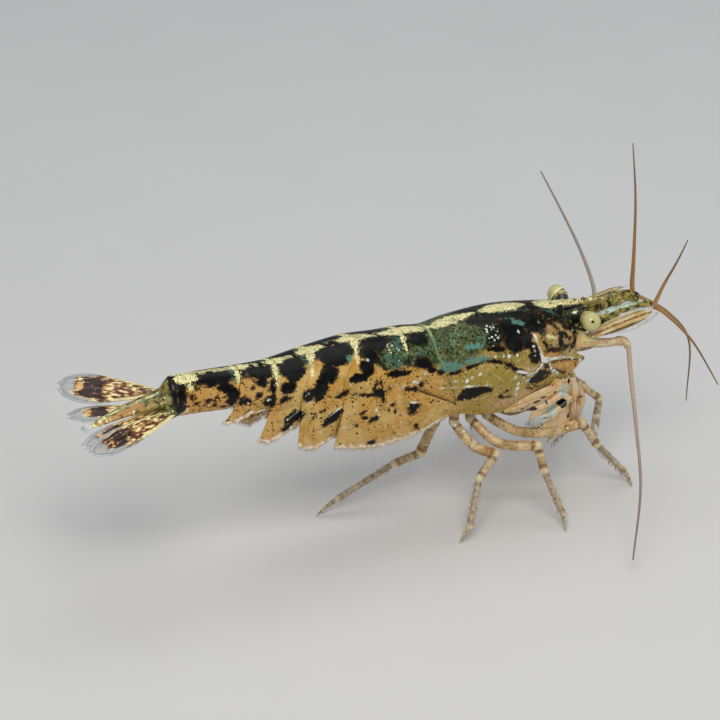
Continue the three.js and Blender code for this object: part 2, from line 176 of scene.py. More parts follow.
class Finish:
    """A material, and the nodes that colour it."""

    def __init__(self, name, **constants):
        self.material = bpy.data.materials.new(name)
        self.material.use_nodes = True
        self.tree = self.material.node_tree
        self.shader = self.tree.nodes["Principled BSDF"]
        for socket, value in constants.items():
            self.shader.inputs[socket.replace("_", " ")].default_value = value
        self.colour = None

    def node(self, kind, settings, inputs, output=0):
        """A node with its settings, then the values or wires of its inputs."""
        added = self.tree.nodes.new(kind)
        for setting, value in settings.items():
            setattr(added, setting, value)
        for socket, value in inputs.items():
            if isinstance(value, Wire):
                self.tree.links.new(value.socket, added.inputs[socket])
            else:
                added.inputs[socket].default_value = value
        return Wire(self, added.outputs[output])

    def sum(self, operation, first, second):
        return self.node("ShaderNodeMath", {"operation": operation}, {0: first, 1: second})

    def feed(self, socket, wire):
        self.tree.links.new(wire.socket, self.shader.inputs[socket])

    def step(self, value, low, high):
        """Rises smoothly from 0 to 1 as the value goes from low to high."""
        return self.node(
            "ShaderNodeMapRange",
            {"interpolation_type": "SMOOTHSTEP"},
            {"Value": value, "From Min": low, "From Max": high},
        )

    def cover(self, under, over, mask):
        """The colour over, laid on the colour under where the mask says."""
        return self.node(
            "ShaderNodeMix",
            {"data_type": "RGBA"},
            {0: mask, 6: self.paint(under), 7: self.paint(over)},
            output=2,
        )

    def lay(self, over, mask):
        """Lays one more colour on the finish, where the mask says."""
        self.colour = self.cover(self.colour, over, mask)

    def paint(self, colour):
        return colour if isinstance(colour, Wire) else (*colour, 1)

    def wave(self, value):
        """Goes from -1 to 1 and back as the value goes through each turn of a circle."""
        return self.node("ShaderNodeMath", {"operation": "SINE"}, {0: value})

    def spot_at(self, x, y=0.5, z=0.5):
        """A place put together from numbers, for a noise that runs along one of them."""
        return self.node("ShaderNodeCombineXYZ", {}, {0: x, 1: y, 2: z})

    def place(self):
        """Where the point is, in millimetres."""
        coordinates = self.node("ShaderNodeTexCoord", {}, {}, output="Object")
        return self.node(
            "ShaderNodeVectorMath", {"operation": "SCALE"}, {0: coordinates, "Scale": 1 / MM}
        )

    def stamp(self, name):
        """A set of three numbers that the mesh carries."""
        return self.node("ShaderNodeAttribute", {"attribute_name": name}, {}, output="Vector")

    def parts(self, vector):
        """The three numbers of a place, stamp or colour."""
        split = self.node("ShaderNodeSeparateXYZ", {}, {0: vector})
        outputs = split.socket.node.outputs
        return [Wire(self, outputs[axis]) for axis in "XYZ"]

    def noise(self, place, size, detail=2.0, roughness=0.5):
        """Cloudy noise round 0.5, with clouds of that size in millimetres."""
        return self.node(
            "ShaderNodeTexNoise",
            {},
            {"Vector": place, "Scale": 1 / size, "Detail": detail, "Roughness": roughness},
        )

    def specks(self, place, size, radius, share):
        """Round specks, one in each cell of that size, in the given share of the cells."""
        settings = {"voronoi_dimensions": "3D", "feature": "F1"}
        far = self.node("ShaderNodeTexVoronoi", settings, {"Vector": place, "Scale": 1 / size})
        lots = Wire(self, far.socket.node.outputs["Color"])
        lot, reach, _ = self.parts(lots)
        chosen = self.step(lot, share + 0.01, share - 0.01)
        size_of_speck = (0.55 + reach * 0.7) * (radius / size)
        return chosen * self.step(far - size_of_speck, 0.03, -0.03)

    def bump(self, height, depth):
        """Relief from a height of 0 to 1, so many millimetres deep."""
        relief = self.node(
            "ShaderNodeBump", {}, {"Strength": 1.0, "Distance": depth * MM, "Height": height}
        )
        self.feed("Normal", relief)


def paint(red, green, blue):
    """A paint, as light from 0 to 1."""
    return tuple((part / 255) ** 2.2 for part in (red, green, blue))


BLACK = paint(7, 6, 5)
NIGHT = paint(15, 19, 13)
BROWN = paint(62, 34, 13)
RUST = paint(146, 84, 36)
MAROON = paint(66, 22, 12)
ORANGE_SPOT = paint(240, 186, 118)
AMBER = paint(204, 150, 82)
UMBER = paint(120, 82, 44)
FACE_OLIVE = paint(172, 146, 86)
FACE_CREAM = paint(226, 206, 148)
TAN = paint(216, 178, 106)
ORANGE_TAN = paint(206, 154, 74)
PINK_TAN = paint(214, 176, 134)
OLIVE = paint(164, 142, 76)
GOLD_OLIVE = paint(160, 142, 62)
MOSS = paint(84, 96, 54)
LEAF = paint(122, 146, 104)
DARK_MOSS = paint(34, 42, 24)
TEAL = paint(62, 104, 88)
TURQUOISE = paint(96, 146, 130)
CREAM = paint(255, 244, 180)
PALE = paint(228, 214, 168)
WHITE = paint(244, 246, 230)
FROST = paint(186, 208, 202)
HEM_CREAM = paint(246, 234, 208)
GREY = paint(178, 170, 150)
EYE_GREEN = paint(198, 196, 118)


# ---- How a form is made ---------------------------------------------------------------------

def profile(rows):
    """A smooth curve through a few rows of (place, value), held level past its ends."""
    places = [row[0] for row in rows]
    values = [row[1] for row in rows]
    befores = [rows[0], *rows[:-1]]
    afters = [*rows[1:], rows[-1]]
    slopes = [(b[1] - a[1]) / (b[0] - a[0]) for a, b in zip(befores, afters)]

    def read(place):
        i = bisect.bisect_right(places, place)
        if i == 0:
            return values[0]
        if i == len(places):
            return values[-1]
        span = places[i] - places[i - 1]
        t = (place - places[i - 1]) / span
        rise = values[i] - values[i - 1]
        sway = slopes[i - 1] * (1 - t) - slopes[i] * t
        return values[i - 1] + rise * t * t * (3 - 2 * t) + span * t * (1 - t) * sway

    return read


def ease(value, low, high):
    """Rises smoothly from 0 to 1 as the value goes from low to high."""
    t = min(max((value - low) / (high - low), 0), 1)
    return t * t * (3 - 2 * t)


def hump(value, middle, reach):
    """1 at the middle, and near 0 from twice the reach on."""
    return math.exp(-(((value - middle) / reach) ** 2))


class Course:
    """A smooth line through a few places, read by the length along it."""

    def __init__(self, places, up=UP, fineness=12):
        stops = [Vector(place) for place in places]
        stops = [2 * stops[0] - stops[1], *stops, 2 * stops[-1] - stops[-2]]
        self.line = [stops[1]]
        for a, b, c, d in zip(stops, stops[1:], stops[2:], stops[3:]):
            for step in range(1, fineness + 1):
                t = step / fineness
                bend = 2 * a - 5 * b + 4 * c - d
                twist = 3 * b - a - 3 * c + d
                self.line.append(b + ((c - a) * t + bend * t * t + twist * t * t * t) / 2)
        self.reaches = [0.0]
        self.ways = []
        for here, there in zip(self.line, self.line[1:]):
            self.reaches.append(self.reaches[-1] + (there - here).length)
            self.ways.append((there - here).normalized())
        self.ways.append(self.ways[-1])
        self.length = self.reaches[-1]
        self.lifts = []
        lift = Vector(up)
        for way in self.ways:
            lift = (lift - way * lift.dot(way)).normalized()
            self.lifts.append(lift)

    def at(self, far):
        """The place so far along, the way the line runs there, and its upper side."""
        i = 0
        while i < len(self.line) - 2 and self.reaches[i + 1] < far:
            i += 1
        span = self.reaches[i + 1] - self.reaches[i]
        t = (far - self.reaches[i]) / span
        place = self.line[i] + (self.line[i + 1] - self.line[i]) * t
        t = min(max(t, 0), 1)
        way = self.ways[i].lerp(self.ways[i + 1], t).normalized()
        lift = self.lifts[i].lerp(self.lifts[i + 1], t)
        lift = (lift - way * lift.dot(way)).normalized()
        return place, way, lift


def warped(steps, turns, rule):
    """A created grid with each of its points put where the rule says, with its two stamps."""
    bm = bmesh.new()
    laid = bm.verts.layers.float_vector.new("laid")
    edges = bm.verts.layers.float_vector.new("edges")
    bmesh.ops.create_grid(bm, x_segments=steps, y_segments=turns, size=0.5)
    for vert in bm.verts:
        vert.co, vert[laid], vert[edges] = rule(vert.co.x + 0.5, vert.co.y + 0.5)
    return bm


def joined(bm):
    """Seams and poles joined."""
    bmesh.ops.remove_doubles(bm, verts=bm.verts, dist=SEAM)
    bmesh.ops.dissolve_degenerate(bm, edges=bm.edges, dist=SHORTEST)
    return bm


def closed(bm):
    """Seams and poles joined, with every face outwards."""
    joined(bm)
    bmesh.ops.recalc_face_normals(bm, faces=bm.faces)
    return bm


def turned_up(bm):
    """Turns the form right side out, by the way its highest point faces."""
    bm.normal_update()
    top = max(bm.verts, key=lambda vert: vert.co.z)
    if top.normal.z < 0:
        bmesh.ops.reverse_faces(bm, faces=bm.faces)
        bm.normal_update()


def gathered(*forms):
    """Several forms as one."""
    whole = bmesh.new()
    for bm in forms:
        mesh = bpy.data.meshes.new("part")
        bm.to_mesh(mesh)
        bm.free()
        whole.from_mesh(mesh)
        bpy.data.meshes.remove(mesh)
    return whole


def mirrored(places, side):
    """The places given for the left side, on the side wanted."""
    return [(x, y * side, z) for x, y, z in places]


def made(bm, name, finish, stands_for=(), wall=0.0):
    """Turns a form into a finished piece in its place. A wall thickens an open sheet inwards."""
    for vert in bm.verts:
        vert.co = placed(vert.co)
        vert.co.z = max(vert.co.z, 0)
    mesh = bpy.data.meshes.new(name)
    bm.to_mesh(mesh)
    bm.free()
    mesh.shade_smooth()
    mesh.materials.append(finish.material)
    piece = bpy.data.objects.new(name, mesh)
    bpy.context.scene.collection.objects.link(piece)
    if wall:
        shell = piece.modifiers.new("wall", "SOLIDIFY")
        shell.thickness = wall * MM
        shell.offset = -1
    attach(piece, "root")
    if stands_for:
        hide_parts(*stands_for)
    return piece


def rod(places, thickness, steps=14, sides=12, up=UP, number=0, start=0.0, blunt=1.0):
    """A closed round rod along a course. thickness(share) gives its half height and half width.
    Its stamps are its place if it were straight, and (length to its nearer end, share along it,
    its number)."""
    course = Course(places, up)
    length = course.length
    ends = [(math.cos(a), math.sin(a)) for a in (0, math.radians(35), math.radians(65))]
    stations = [(-back * blunt * min(thickness(0)), 0.0, squeeze) for back, squeeze in ends]
    stations += [(length * i / steps, i / steps, 1.0) for i in range(steps + 1)]
    stations += [
        (length + back * blunt * min(thickness(1)), 1.0, squeeze) for back, squeeze in ends[::-1]
    ]
    last = len(stations) - 1

    def rule(u, v):
        far, share, squeeze = stations[round(u * last)]
        place, way, lift = course.at(far)
        half_height, half_width = thickness(share)
        turn = 2 * math.pi * v
        height = half_height * squeeze * math.cos(turn)
        width = half_width * squeeze * math.sin(turn)
        near = min(max(far, 0), max(length - far, 0))
        return (
            place + lift * height + way.cross(lift) * width,
            (start + far, height, width),
            (near, share, number),
        )

    return closed(warped(last, sides, rule))


def bristles(name, hairs, finish):
    """Many fine bristles, rolled from the strips of one grid. Each is (root, heading, bend,
    length, radius, patch), and patch is its root's place on the flattened skin."""
    rings = [(-0.08, 0.0), (0.0, 1.0), (0.5, 0.75), (1.0, 0.0)]
    corners = 4
    bm = bmesh.new()
    skin = bm.loops.layers.uv.new("OFBake")
    bmesh.ops.create_grid(
        bm, x_segments=len(hairs) * corners - 1, y_segments=len(rings) - 1, size=0.5
    )
    columns = len(hairs) * corners - 1
    owner = {}
    spot = {}
    for vert in bm.verts:
        column = round((vert.co.x + 0.5) * columns)
        ring = round((vert.co.y + 0.5) * (len(rings) - 1))
        owner[vert] = column // corners
        spot[vert] = (column % corners / (corners - 1), ring / (len(rings) - 1))
        root, heading, bend, length, radius, _ = hairs[owner[vert]]
        along, fat = rings[ring]
        across = heading.orthogonal().normalized()
        turn = 2 * math.pi * (column % corners) / (corners - 1)
        off = across * math.cos(turn) + heading.cross(across) * math.sin(turn)
        vert.co = root + (heading * along + bend * along * along) * length + off * radius * fat
    bridges = [f for f in bm.faces if len({owner[vert] for vert in f.verts}) > 1]
    bmesh.ops.delete(bm, geom=bridges, context="FACES_ONLY")
    loose = [e for e in bm.edges if not e.link_faces]
    bmesh.ops.delete(bm, geom=loose, context="EDGES_FACES")
    for face in bm.faces:
        for loop in face.loops:
            u, v = hairs[owner[loop.vert]][5]
            loop[skin].uv = (
                u + BAKE_PATCH * spot[loop.vert][0],
                v + BAKE_PATCH * spot[loop.vert][1],
            )
    bmesh.ops.remove_doubles(bm, verts=bm.verts, dist=1e-6)
    bmesh.ops.recalc_face_normals(bm, faces=bm.faces)
    return made(bm, name, finish)


def stray(spread):
    """A small random push in any direction."""
    return Vector([random.uniform(-spread, spread) for _ in range(3)])


# ---- The trunk's form -----------------------------------------------------------------------

back_height = profile([
    (-20.2, 11.98), (-18.4, 11.86), (-16.2, 11.66), (-14.2, 11.5), (-12, 11.7), (-9.5, 11.86),
    (-7.5, 11.68), (-5.8, 11.6), (-4.6, 11.4), (-3.2, 11.58), (-1.5, 11.68), (0, 11.66),
    (2.4, 11.33), (4.6, 10.95),
])
half_width = profile([
    (-20.2, 0.9), (-18.2, 1.05), (-16.2, 1.25), (-13.9, 1.6), (-11.5, 1.95), (-8.5, 2.25),
    (-5, 2.25), (-2, 2.45), (0.8, 2.35), (3, 1.9), (4.6, 1.5),
])
flank_height = profile([(-17, 10.5), (-12, 10.2), (-8.5, 9.9), (-5, 9.6), (0, 9.5), (4.6, 9.5)])
belly_height = profile([
    (-20.2, 9.75), (-17, 9.6), (-14, 9), (-11, 8.6), (-8, 8.4), (-5, 8.2), (-3.8, 7.3), (0, 7),
    (2, 7.5), (4.4, 8.7),
])

# The margins between the shell plates, from the neck back, as x at each height.
NECK = profile([(6.4, -3.5), (8.2, -4.05), (9.5, -4.6), (10.6, -5), (11.8, -4.75)])
WAIST = profile([
    (6.4, -3.55), (7.2, -3.75), (8, -4.9), (9, -6.45), (10.1, -6.95), (11.8, -6.15),
])
MARGIN_23 = profile([(5.8, -11.2), (9.3, -10.75), (10.6, -10.6), (12, -8.9)])
MARGIN_34 = profile([(6.5, -13.3), (9, -13.2), (10.5, -12.9), (11.9, -11.9)])
MARGIN_45 = profile([(7.2, -15.7), (8.8, -15.1), (10.3, -14.8), (11.6, -13.95)])
MARGIN_56 = profile([(8.8, -17.8), (9.7, -17), (10.7, -16.7), (11.7, -16.2)])
FACE = profile([
    (7.3, 3.9), (7.8, 4.3), (8.1, 4.62), (8.35, 4.3), (8.7, 3.98), (9.3, 3.92), (9.7, 4.02),
    (9.85, 4.12), (10.05, 3.75), (10.4, 3.5), (10.8, 3.5), (11.1, 3.75), (11.4, 3.8),
])


class Plate:
    """One plate of the shell: its hem, its margins, and where it lies over its neighbours."""

    def __init__(self, hem, hem_half_width, hind, front, steps, turns,
                 hind_over=lambda z: 1.0, front_over=lambda z: 0.0, frill=0.03):
        self.hem = hem
        self.frill = frill
        self.hem_half_width = hem_half_width
        self.hind = hind
        self.front = front
        self.steps = steps
        self.turns = turns
        self.hind_over = hind_over
        self.front_over = front_over

    def section(self, x, around):
        """Height and breadth of the outside. around is -1 at the right hem and 1 at the left."""
        side = math.copysign(1, around)
        share = abs(around) * 2
        half = half_width(x)
        flank = flank_height(x)
        if share <= 1:
            turn = share * math.pi / 2
            return side * half * math.sin(turn), flank + (back_height(x) - flank) * math.cos(turn)
        drop = share - 1
        inwards = (half - self.hem_half_width) * drop * drop
        frill = self.frill * (math.sin(x * 11) + 0.6 * math.sin(x * 27)) * ease(drop, 0.86, 1)
        return side * (half - inwards), flank - (flank - self.hem(x)) * drop + frill

    def girth(self, x, around):
        """The length over the shell from the middle of the back."""
        share = abs(around) * 2
        flank = flank_height(x)
        rise = back_height(x) - flank
        shoulder = math.pi / 2 * math.sqrt((half_width(x) ** 2 + rise ** 2) / 2)
        return shoulder * min(share, 1) + max(share - 1, 0) * (flank - self.hem(x))


TUCK = 0.45  # how far a plate runs on under its neighbour
NEARINGS = 4  # rounds that bring a point's x and height to agree at a slanting margin
AWAY_FROM_EDGES = 3  # what a point is stamped with where it has no margin or hem near it


def above_waist(z):
    return ease(z, 9.1, 9.9)


def below_waist(z):
    return 1 - above_waist(z)


PLATES = {
    "carapace": Plate(
        profile([(-3.5, 6.5), (-2.4, 6.15), (-0.7, 5.9), (0.5, 6.2), (2.1, 6.75), (3.7, 7.35),
                 (4.5, 8)]),
        1.45, NECK, FACE, 150, 220, front_over=lambda z: 1.0, frill=0.0,
    ),
    "pleon_1": Plate(
        profile([(-6, 8.3), (-4, 7.1)]), 1.75, WAIST, NECK, 50, 170, hind_over=above_waist,
    ),
    "pleon_2": Plate(
        profile([(-11.2, 6.2), (-9.5, 5.75), (-8.2, 5.6), (-6, 5.85), (-4, 6.5)]),
        1.5, MARGIN_23, WAIST, 110, 200, front_over=below_waist,
    ),
    "pleon_3": Plate(
        profile([(-13.3, 6.75), (-12.4, 6.35), (-11.3, 6.7)]), 1.4, MARGIN_34, MARGIN_23, 60, 170,
    ),
    "pleon_4": Plate(
        profile([(-15.7, 7.7), (-15, 7.3), (-13.4, 7.9)]), 1.25, MARGIN_45, MARGIN_34, 55, 150,
    ),
    "pleon_5": Plate(
        profile([(-17.8, 9.15), (-17.1, 8.9), (-15.8, 9.2)]), 1.05, MARGIN_56, MARGIN_45, 55, 130,
    ),
}


def plate_form(name):
    """The outside of a plate. Its stamps are (x, girth, 0) and the lengths from its front margin,
    from its hind margin and from its hem."""
    plate = PLATES[name]

    def rule(u, v):
        around = v * 2 - 1
        x = (plate.hind(9.5) + plate.front(9.5)) / 2
        y = z = 0
        for _ in range(NEARINGS):
            y, z = plate.section(x, around)
            hind = plate.hind(z)
            front = plate.front(z)
            low = hind - TUCK * (1 - plate.hind_over(z))
            high = front + TUCK * (1 - plate.front_over(z))
            x = low + (high - low) * u
        girth = plate.girth(x, around)
        above_hem = plate.girth(x, 1) - girth + (1 if name == "pleon_1" else 0)
        return Vector((x, y, z)), (x, girth, 0), (front - x, x - hind, above_hem)

    bm = warped(plate.steps, plate.turns, rule)
    turned_up(bm)
    laid = bm.verts.layers.float_vector["laid"]
    edges = bm.verts.layers.float_vector["edges"]
    moves = []
    for vert in bm.verts:
        x, girth, _ = vert[laid]
        behind_front, ahead_of_hind, above_hem = vert[edges]
        z = vert.co.z
        push = 0.01 * hump(ahead_of_hind, 0, 0.16) * plate.hind_over(z)
        push += 0.01 * hump(behind_front, 0, 0.16) * plate.front_over(z)
        push -= 0.07 * ease(behind_front, 0.1, -0.1) * (1 - plate.front_over(z))
        push -= 0.07 * ease(ahead_of_hind, 0.1, -0.1) * (1 - plate.hind_over(z))
        push += 0.03 * hump(above_hem, 0.05, 0.12)
        push += relief_of(name, x, girth)
        moves.append(vert.normal * push)
    for vert, move in zip(bm.verts, moves):
        vert.co += move
    stamp_pigments(bm)
    return bm


def relief_of(name, x, girth):
    """Grooves and swellings of a plate, in millimetres outwards."""
    if name == "carapace":
        brow = -0.1 * hump(girth - 2.0 + 0.5 * (x - 2.4), 0, 0.16) * ease(x, 1.2, 2.2)
        cheek = -0.08 * hump(x - 1.45 - 0.15 * (girth - 3.4), 0, 0.12) * hump(girth, 3.3, 0.9)
        gill = 0.07 * hump(girth, 4.9, 1.1) * ease(x, 1.4, -0.6)
        gutter = -0.07 * hump(girth - 3.3 - 0.33 * ease(x, -2, 1) * 3.2, 0, 0.2) * ease(x, 1.2, 0.2)
        lip = -0.06 * hump(girth, 4.05, 0.12) * ease(x, 1.8, 2.4)
        return brow + cheek + gill + gutter + lip
    if name == "pleon_2":
        return 0.05 * hump(girth, 5.0, 1.0) - 0.03 * hump(girth - 3.4 + 0.1 * (x + 8), 0, 0.2)
    if name in ("pleon_3", "pleon_4"):
        return -0.05 * hump(girth, 3.3, 0.25)
    return 0.0


# ---- What the shell is painted with ---------------------------------------------------------

# Marks on the shell's two sides, as (x, girth, half length, half girth, turn in degrees). A mark
# that isn't turned leaves out its turn, and a round one its half girth too.
BLACK_MARKS = [
    # Shield, from the saddle to the cheek.
    (-0.16, 1.7, 0.65, 0.95, 12), (-0.3, 2.6, 0.6, 0.5, 20), (-1.5, 2.72, 0.5, 0.12, 8),
    (-1.9, 0.78, 0.7, 0.2, 12), (-1.0, 0.78, 0.6, 0.28), (0.3, 0.85, 1.0, 0.2),
    (1.24, 1.5, 0.75, 0.55), (2.0, 1.05, 0.7, 0.36, 22), (1.82, 0.25, 0.36, 0.4),
    (0.54, 2.6, 0.3, 0.5), (0.95, 3.6, 0.42, 0.42, -10), (0.85, 3.05, 0.25, 0.5, -15),
    (2.75, 1.3, 0.5, 0.12, 30), (1.55, 3.95, 0.3, 0.1, 30),
    # Cheek: a broken ring and wavy lines.
    (3.0, 2.3, 0.36, 0.17, 20), (3.4, 1.88, 0.3, 0.09, 20), (3.82, 2.35, 0.1, 0.46),
    (3.66, 2.98, 0.13, 0.22, 30), (2.78, 2.75, 0.14, 0.32), (1.66, 2.86, 0.38, 0.11, 58),
    (2.35, 3.2, 0.52, 0.12), (3.15, 3.0, 0.34, 0.11, -10), (1.85, 3.2, 0.14),
    (3.1, 1.5, 0.35, 0.06, 35), (2.5, 1.7, 0.3, 0.06, 30), (3.4, 2.55, 0.09, 0.07),
    (2.9, 3.96, 0.6, 0.025, -9), (2.6, 4.55, 0.75, 0.03, 16), (2.05, 4.75, 0.1, 0.12),
    # Gill cover.
    (-2.7, 4.95, 0.95, 0.24, 14), (-3.1, 5.15, 0.72, 0.3, 4), (1.5, 4.9, 0.55, 0.42, -12),
    (1.05, 5.2, 0.35, 0.22, 30), (0.9, 5.75, 0.3, 0.08, 25), (1.25, 5.6, 0.3, 0.07, 40),
    (-4.1, 3.35, 0.6, 0.07), (-2.9, 3.3, 0.75, 0.07, -6), (-1.7, 3.42, 0.65, 0.08, 20),
    (-0.6, 4.0, 0.65, 0.09, 34), (0.1, 4.5, 0.4, 0.1, 30), (-4.75, 3.02, 0.38, 0.18, -8),
    (-0.7, 5.6, 0.12, 0.1), (-1.1, 5.9, 0.16, 0.06, 20), (-0.5, 6.1, 0.18, 0.05, 20),
    # First and second rings.
    (-5.7, 0.95, 0.5, 0.42), (-5.9, 2.45, 0.45, 0.3, 20), (-5.5, 2.85, 0.3, 0.12),
    (-8.2, 0.72, 0.8, 0.5), (-8.9, 1.5, 0.35, 0.7, 14), (-9.3, 2.2, 0.4, 0.45, 20),
    (-9.9, 2.68, 0.55, 0.26), (-7.65, 2.78, 0.5, 0.16), (-7.0, 2.85, 0.3, 0.1),
    (-8.72, 3.85, 0.3, 0.28), (-8.95, 3.45, 0.05, 0.3, 15), (-8.6, 3.42, 0.05, 0.3, -12),
    (-8.3, 3.7, 0.32, 0.05, -25), (-9.15, 3.9, 0.3, 0.06, 10), (-8.5, 4.25, 0.05, 0.22, -20),
    (-9.7, 3.75, 0.25, 0.09), (-10.2, 3.6, 0.14, 0.09), (-10.86, 3.4, 0.42, 0.13, -15),
    (-7.0, 3.85, 0.13, 0.1), (-6.55, 3.95, 0.25, 0.11, 10), (-6.15, 3.8, 0.15, 0.2),
    (-6.73, 5.08, 0.2, 0.22), (-6.4, 5.1, 0.2, 0.22), (-6.56, 5.35, 0.18, 0.22),
    (-8.98, 5.5, 0.3, 0.17, -35), (-8.92, 7.15, 0.28, 0.2, -20), (-6.1, 6.65, 0.35, 0.07, 50),
    (-7.9, 4.7, 0.08, 0.07), (-7.7, 5.1, 0.07, 0.08), (-8.1, 5.0, 0.07, 0.06),
    (-9.7, 4.9, 0.1, 0.09), (-9.5, 5.3, 0.08, 0.1), (-10.0, 5.6, 0.09, 0.07),
    # Third to fifth rings.
    (-10.75, 0.85, 1.0, 0.8, 8), (-11.5, 1.9, 0.5, 0.55, 20), (-12.1, 2.7, 0.38, 0.7, 14),
    (-12.75, 2.8, 0.4, 0.38), (-11.4, 4.76, 0.6, 0.28, -34), (-11.45, 6.25, 0.32, 0.12, -50),
    (-12.0, 4.1, 0.12, 0.1), (-12.5, 4.3, 0.1, 0.12), (-13.35, 0.8, 0.66, 0.9, 10),
    (-13.9, 1.9, 0.45, 0.4, 20), (-14.14, 2.6, 0.35, 0.16), (-13.55, 3.95, 0.58, 0.36, -14),
    (-13.9, 4.55, 0.32, 0.26, -32), (-14.95, 2.5, 0.36, 0.34), (-14.7, 1.6, 0.2, 0.4, 20),
    (-15.2, 0.55, 0.66, 0.62, 6), (-15.3, 1.3, 0.3, 0.25), (-15.6, 2.0, 0.15, 0.12),
    (-15.9, 1.5, 0.12, 0.15), (-15.3, 3.2, 0.35, 0.12, -20),
    # Sixth ring.
    (-17.85, 0.55, 1.0, 0.5), (-17.4, 1.15, 0.45, 0.22), (-17.0, 1.75, 0.3, 0.62, 8),
    (-16.4, 2.2, 0.33, 0.26, -10), (-19.04, 1.88, 0.17, 0.11), (-18.64, 2.05, 0.11, 0.1),
    (-18.42, 1.78, 0.11), (-18.04, 2.12, 0.08, 0.07), (-19.35, 1.5, 0.12, 0.2),
    (-19.9, 1.4, 0.26, 0.62, 8), (-20.1, 0.55, 0.2, 0.5), (-17.6, 2.3, 0.1, 0.08),
]
CREAM_MARKS = [
    (-3.3, 0.0, 1.25, 0.46), (-2.2, 0.0, 0.6, 0.2), (0.0, 0.0, 1.5, 0.5), (2.85, 0.1, 0.8, 0.5),
    (-6.0, 0.0, 1.7, 0.42), (-6.5, 0.6, 0.2, 0.6, 12), (-6.65, 1.3, 0.11, 0.35, 8),
    (-9.2, 0.0, 1.0, 0.4), (-9.4, 0.5, 0.27, 0.6, 22), (-9.65, 1.25, 0.15, 0.55, 18),
    (-11.9, 0.0, 0.8, 0.38), (-12.1, 0.55, 0.25, 0.6, 22), (-12.35, 1.3, 0.15, 0.5, 18),
    (-13.95, 0.0, 0.6, 0.36), (-14.25, 0.6, 0.2, 0.65, 16), (-14.45, 1.35, 0.12, 0.35, 12),
    (-16.1, 0.0, 0.6, 0.34), (-16.5, 0.65, 0.2, 0.5, 16), (-19.4, 0.35, 0.72, 0.42),
    (-19.35, 0.95, 0.18, 0.25), (-4.72, 0.4, 0.12, 0.5, 8), (2.12, 2.38, 0.3, 0.16, 10),
]
TEAL_MARKS = [
    (-7.0, 0.9, 0.22, 0.8, 12), (-9.9, 0.8, 0.3, 1.1, 24), (-12.55, 0.7, 0.22, 0.9, 24),
    (-14.7, 0.7, 0.22, 0.8, 20), (0.3, 0.6, 1.3, 0.14), (2.4, 0.85, 0.7, 0.2, 15),
    (-16.8, 0.6, 0.18, 0.5, 16), (-7.6, 1.9, 0.5, 0.3), (-19.95, 0.9, 0.15, 0.3),
]
TURQUOISE_MARKS = [
    (-2.8, 2.2, 0.6, 0.17, 14), (-4.3, 2.9, 0.8, 0.28, 14), (-2.75, 3.0, 0.85, 0.24, 8),
    (0.35, 1.45, 0.42, 0.16, 18), (-0.1, 1.1, 0.35, 0.08, 10), (-10.1, 1.4, 0.2, 0.25, 20),
]
WHITE_MARKS = [
    (1.1, 2.5, 0.3, 0.08, 68), (1.28, 3.0, 0.26, 0.06, 72), (1.42, 3.48, 0.36, 0.08, 76),
    (1.8, 3.85, 0.34, 0.17, -8), (2.7, 3.72, 0.5, 0.06, -6), (3.5, 3.72, 0.3, 0.05, 4),
    (1.35, 4.3, 0.32, 0.07, -42), (0.85, 4.66, 0.4, 0.09, -10), (0.2, 4.5, 0.4, 0.05, 18),
    (-2.9, 4.6, 0.9, 0.02, 14), (-6.6, 4.78, 0.2, 0.015, 8), (4.42, 3.82, 0.16, 0.1),
    (2.2, 4.4, 0.1, 0.09), (2.45, 4.6, 0.13, 0.08), (2.7, 4.78, 0.11, 0.1), (-4.1, 3.85, 0.07),
    (-3.35, 4.1, 0.08), (-3.05, 4.02, 0.09), (-2.6, 3.95, 0.08), (-0.3, 4.7, 0.1),
    (-0.05, 5.2, 0.08), (0.45, 5.05, 0.08), (-0.05, 5.55, 0.09, 0.1), (-0.02, 6.0, 0.08, 0.09),
    (-1.6, 3.12, 0.07), (-1.1, 3.2, 0.07), (-0.8, 3.28, 0.08), (-0.25, 3.35, 0.07),
    (-5.9, 3.1, 0.09), (-6.2, 3.35, 0.09), (-6.55, 3.5, 0.09), (-7.3, 3.6, 0.07), (-6.4, 3.6, 0.08),
    (-12.8, 2.7, 0.09, 0.1), (-11.2, 4.36, 0.3, 0.02, -30), (-13.3, 3.62, 0.4, 0.02, -30),
    (-8.85, 4.9, 0.09, 0.08), (-8.7, 5.2, 0.06), (-15.0, 2.4, 0.08), (0.1, 1.95, 0.05),
    (1.6, 1.5, 0.05), (0.95, 3.5, 0.06), (0.85, 2.9, 0.08, 0.06), (0.9, 3.2, 0.07, 0.06),
    (0.6, 5.1, 0.08, 0.14, 30), (-8.0, 3.5, 0.06), (-9.15, 1.75, 0.08), (2.1, 4.15, 0.05),
]
OLIVE_MARKS = [(-0.7, 3.4, 1.3, 0.42, 12), (-3.2, 4.2, 1.6, 0.6, 8), (-1.0, 4.6, 1.5, 0.7, 18)]
LEAF_MARKS = [
    (-3.6, 1.6, 1.7, 1.5), (-6.1, 1.9, 0.6), (-7.5, 1.7, 0.7, 0.8), (-5.3, 2.0, 0.5, 0.8),
    (-4.7, 1.4, 0.2, 1.5, 6),
]
CHEEK_MARKS = [(2.9, 2.6, 1.25, 1.05)]
SPARKLE_MARKS = [(-1.45, 1.8, 0.4, 0.6), (-7.4, 1.25, 0.4, 0.35)]
AMBER_MARKS = [
    (1.25, 2.3, 0.42, 0.18, 40), (1.42, 3.0, 0.78, 0.19, 60), (2.1, 3.45, 0.45, 0.18),
    (3.3, 4.25, 1.1, 0.42, -12), (-0.6, 0.95, 0.2, 0.1), (2.3, 1.9, 0.3, 0.1, 40),
]
DUSK_MARKS = [(-5.9, 2.35, 0.9, 0.5, 8), (-4.1, 2.95, 0.7, 0.3), (-0.6, 2.2, 1.3, 1.2, 10)]
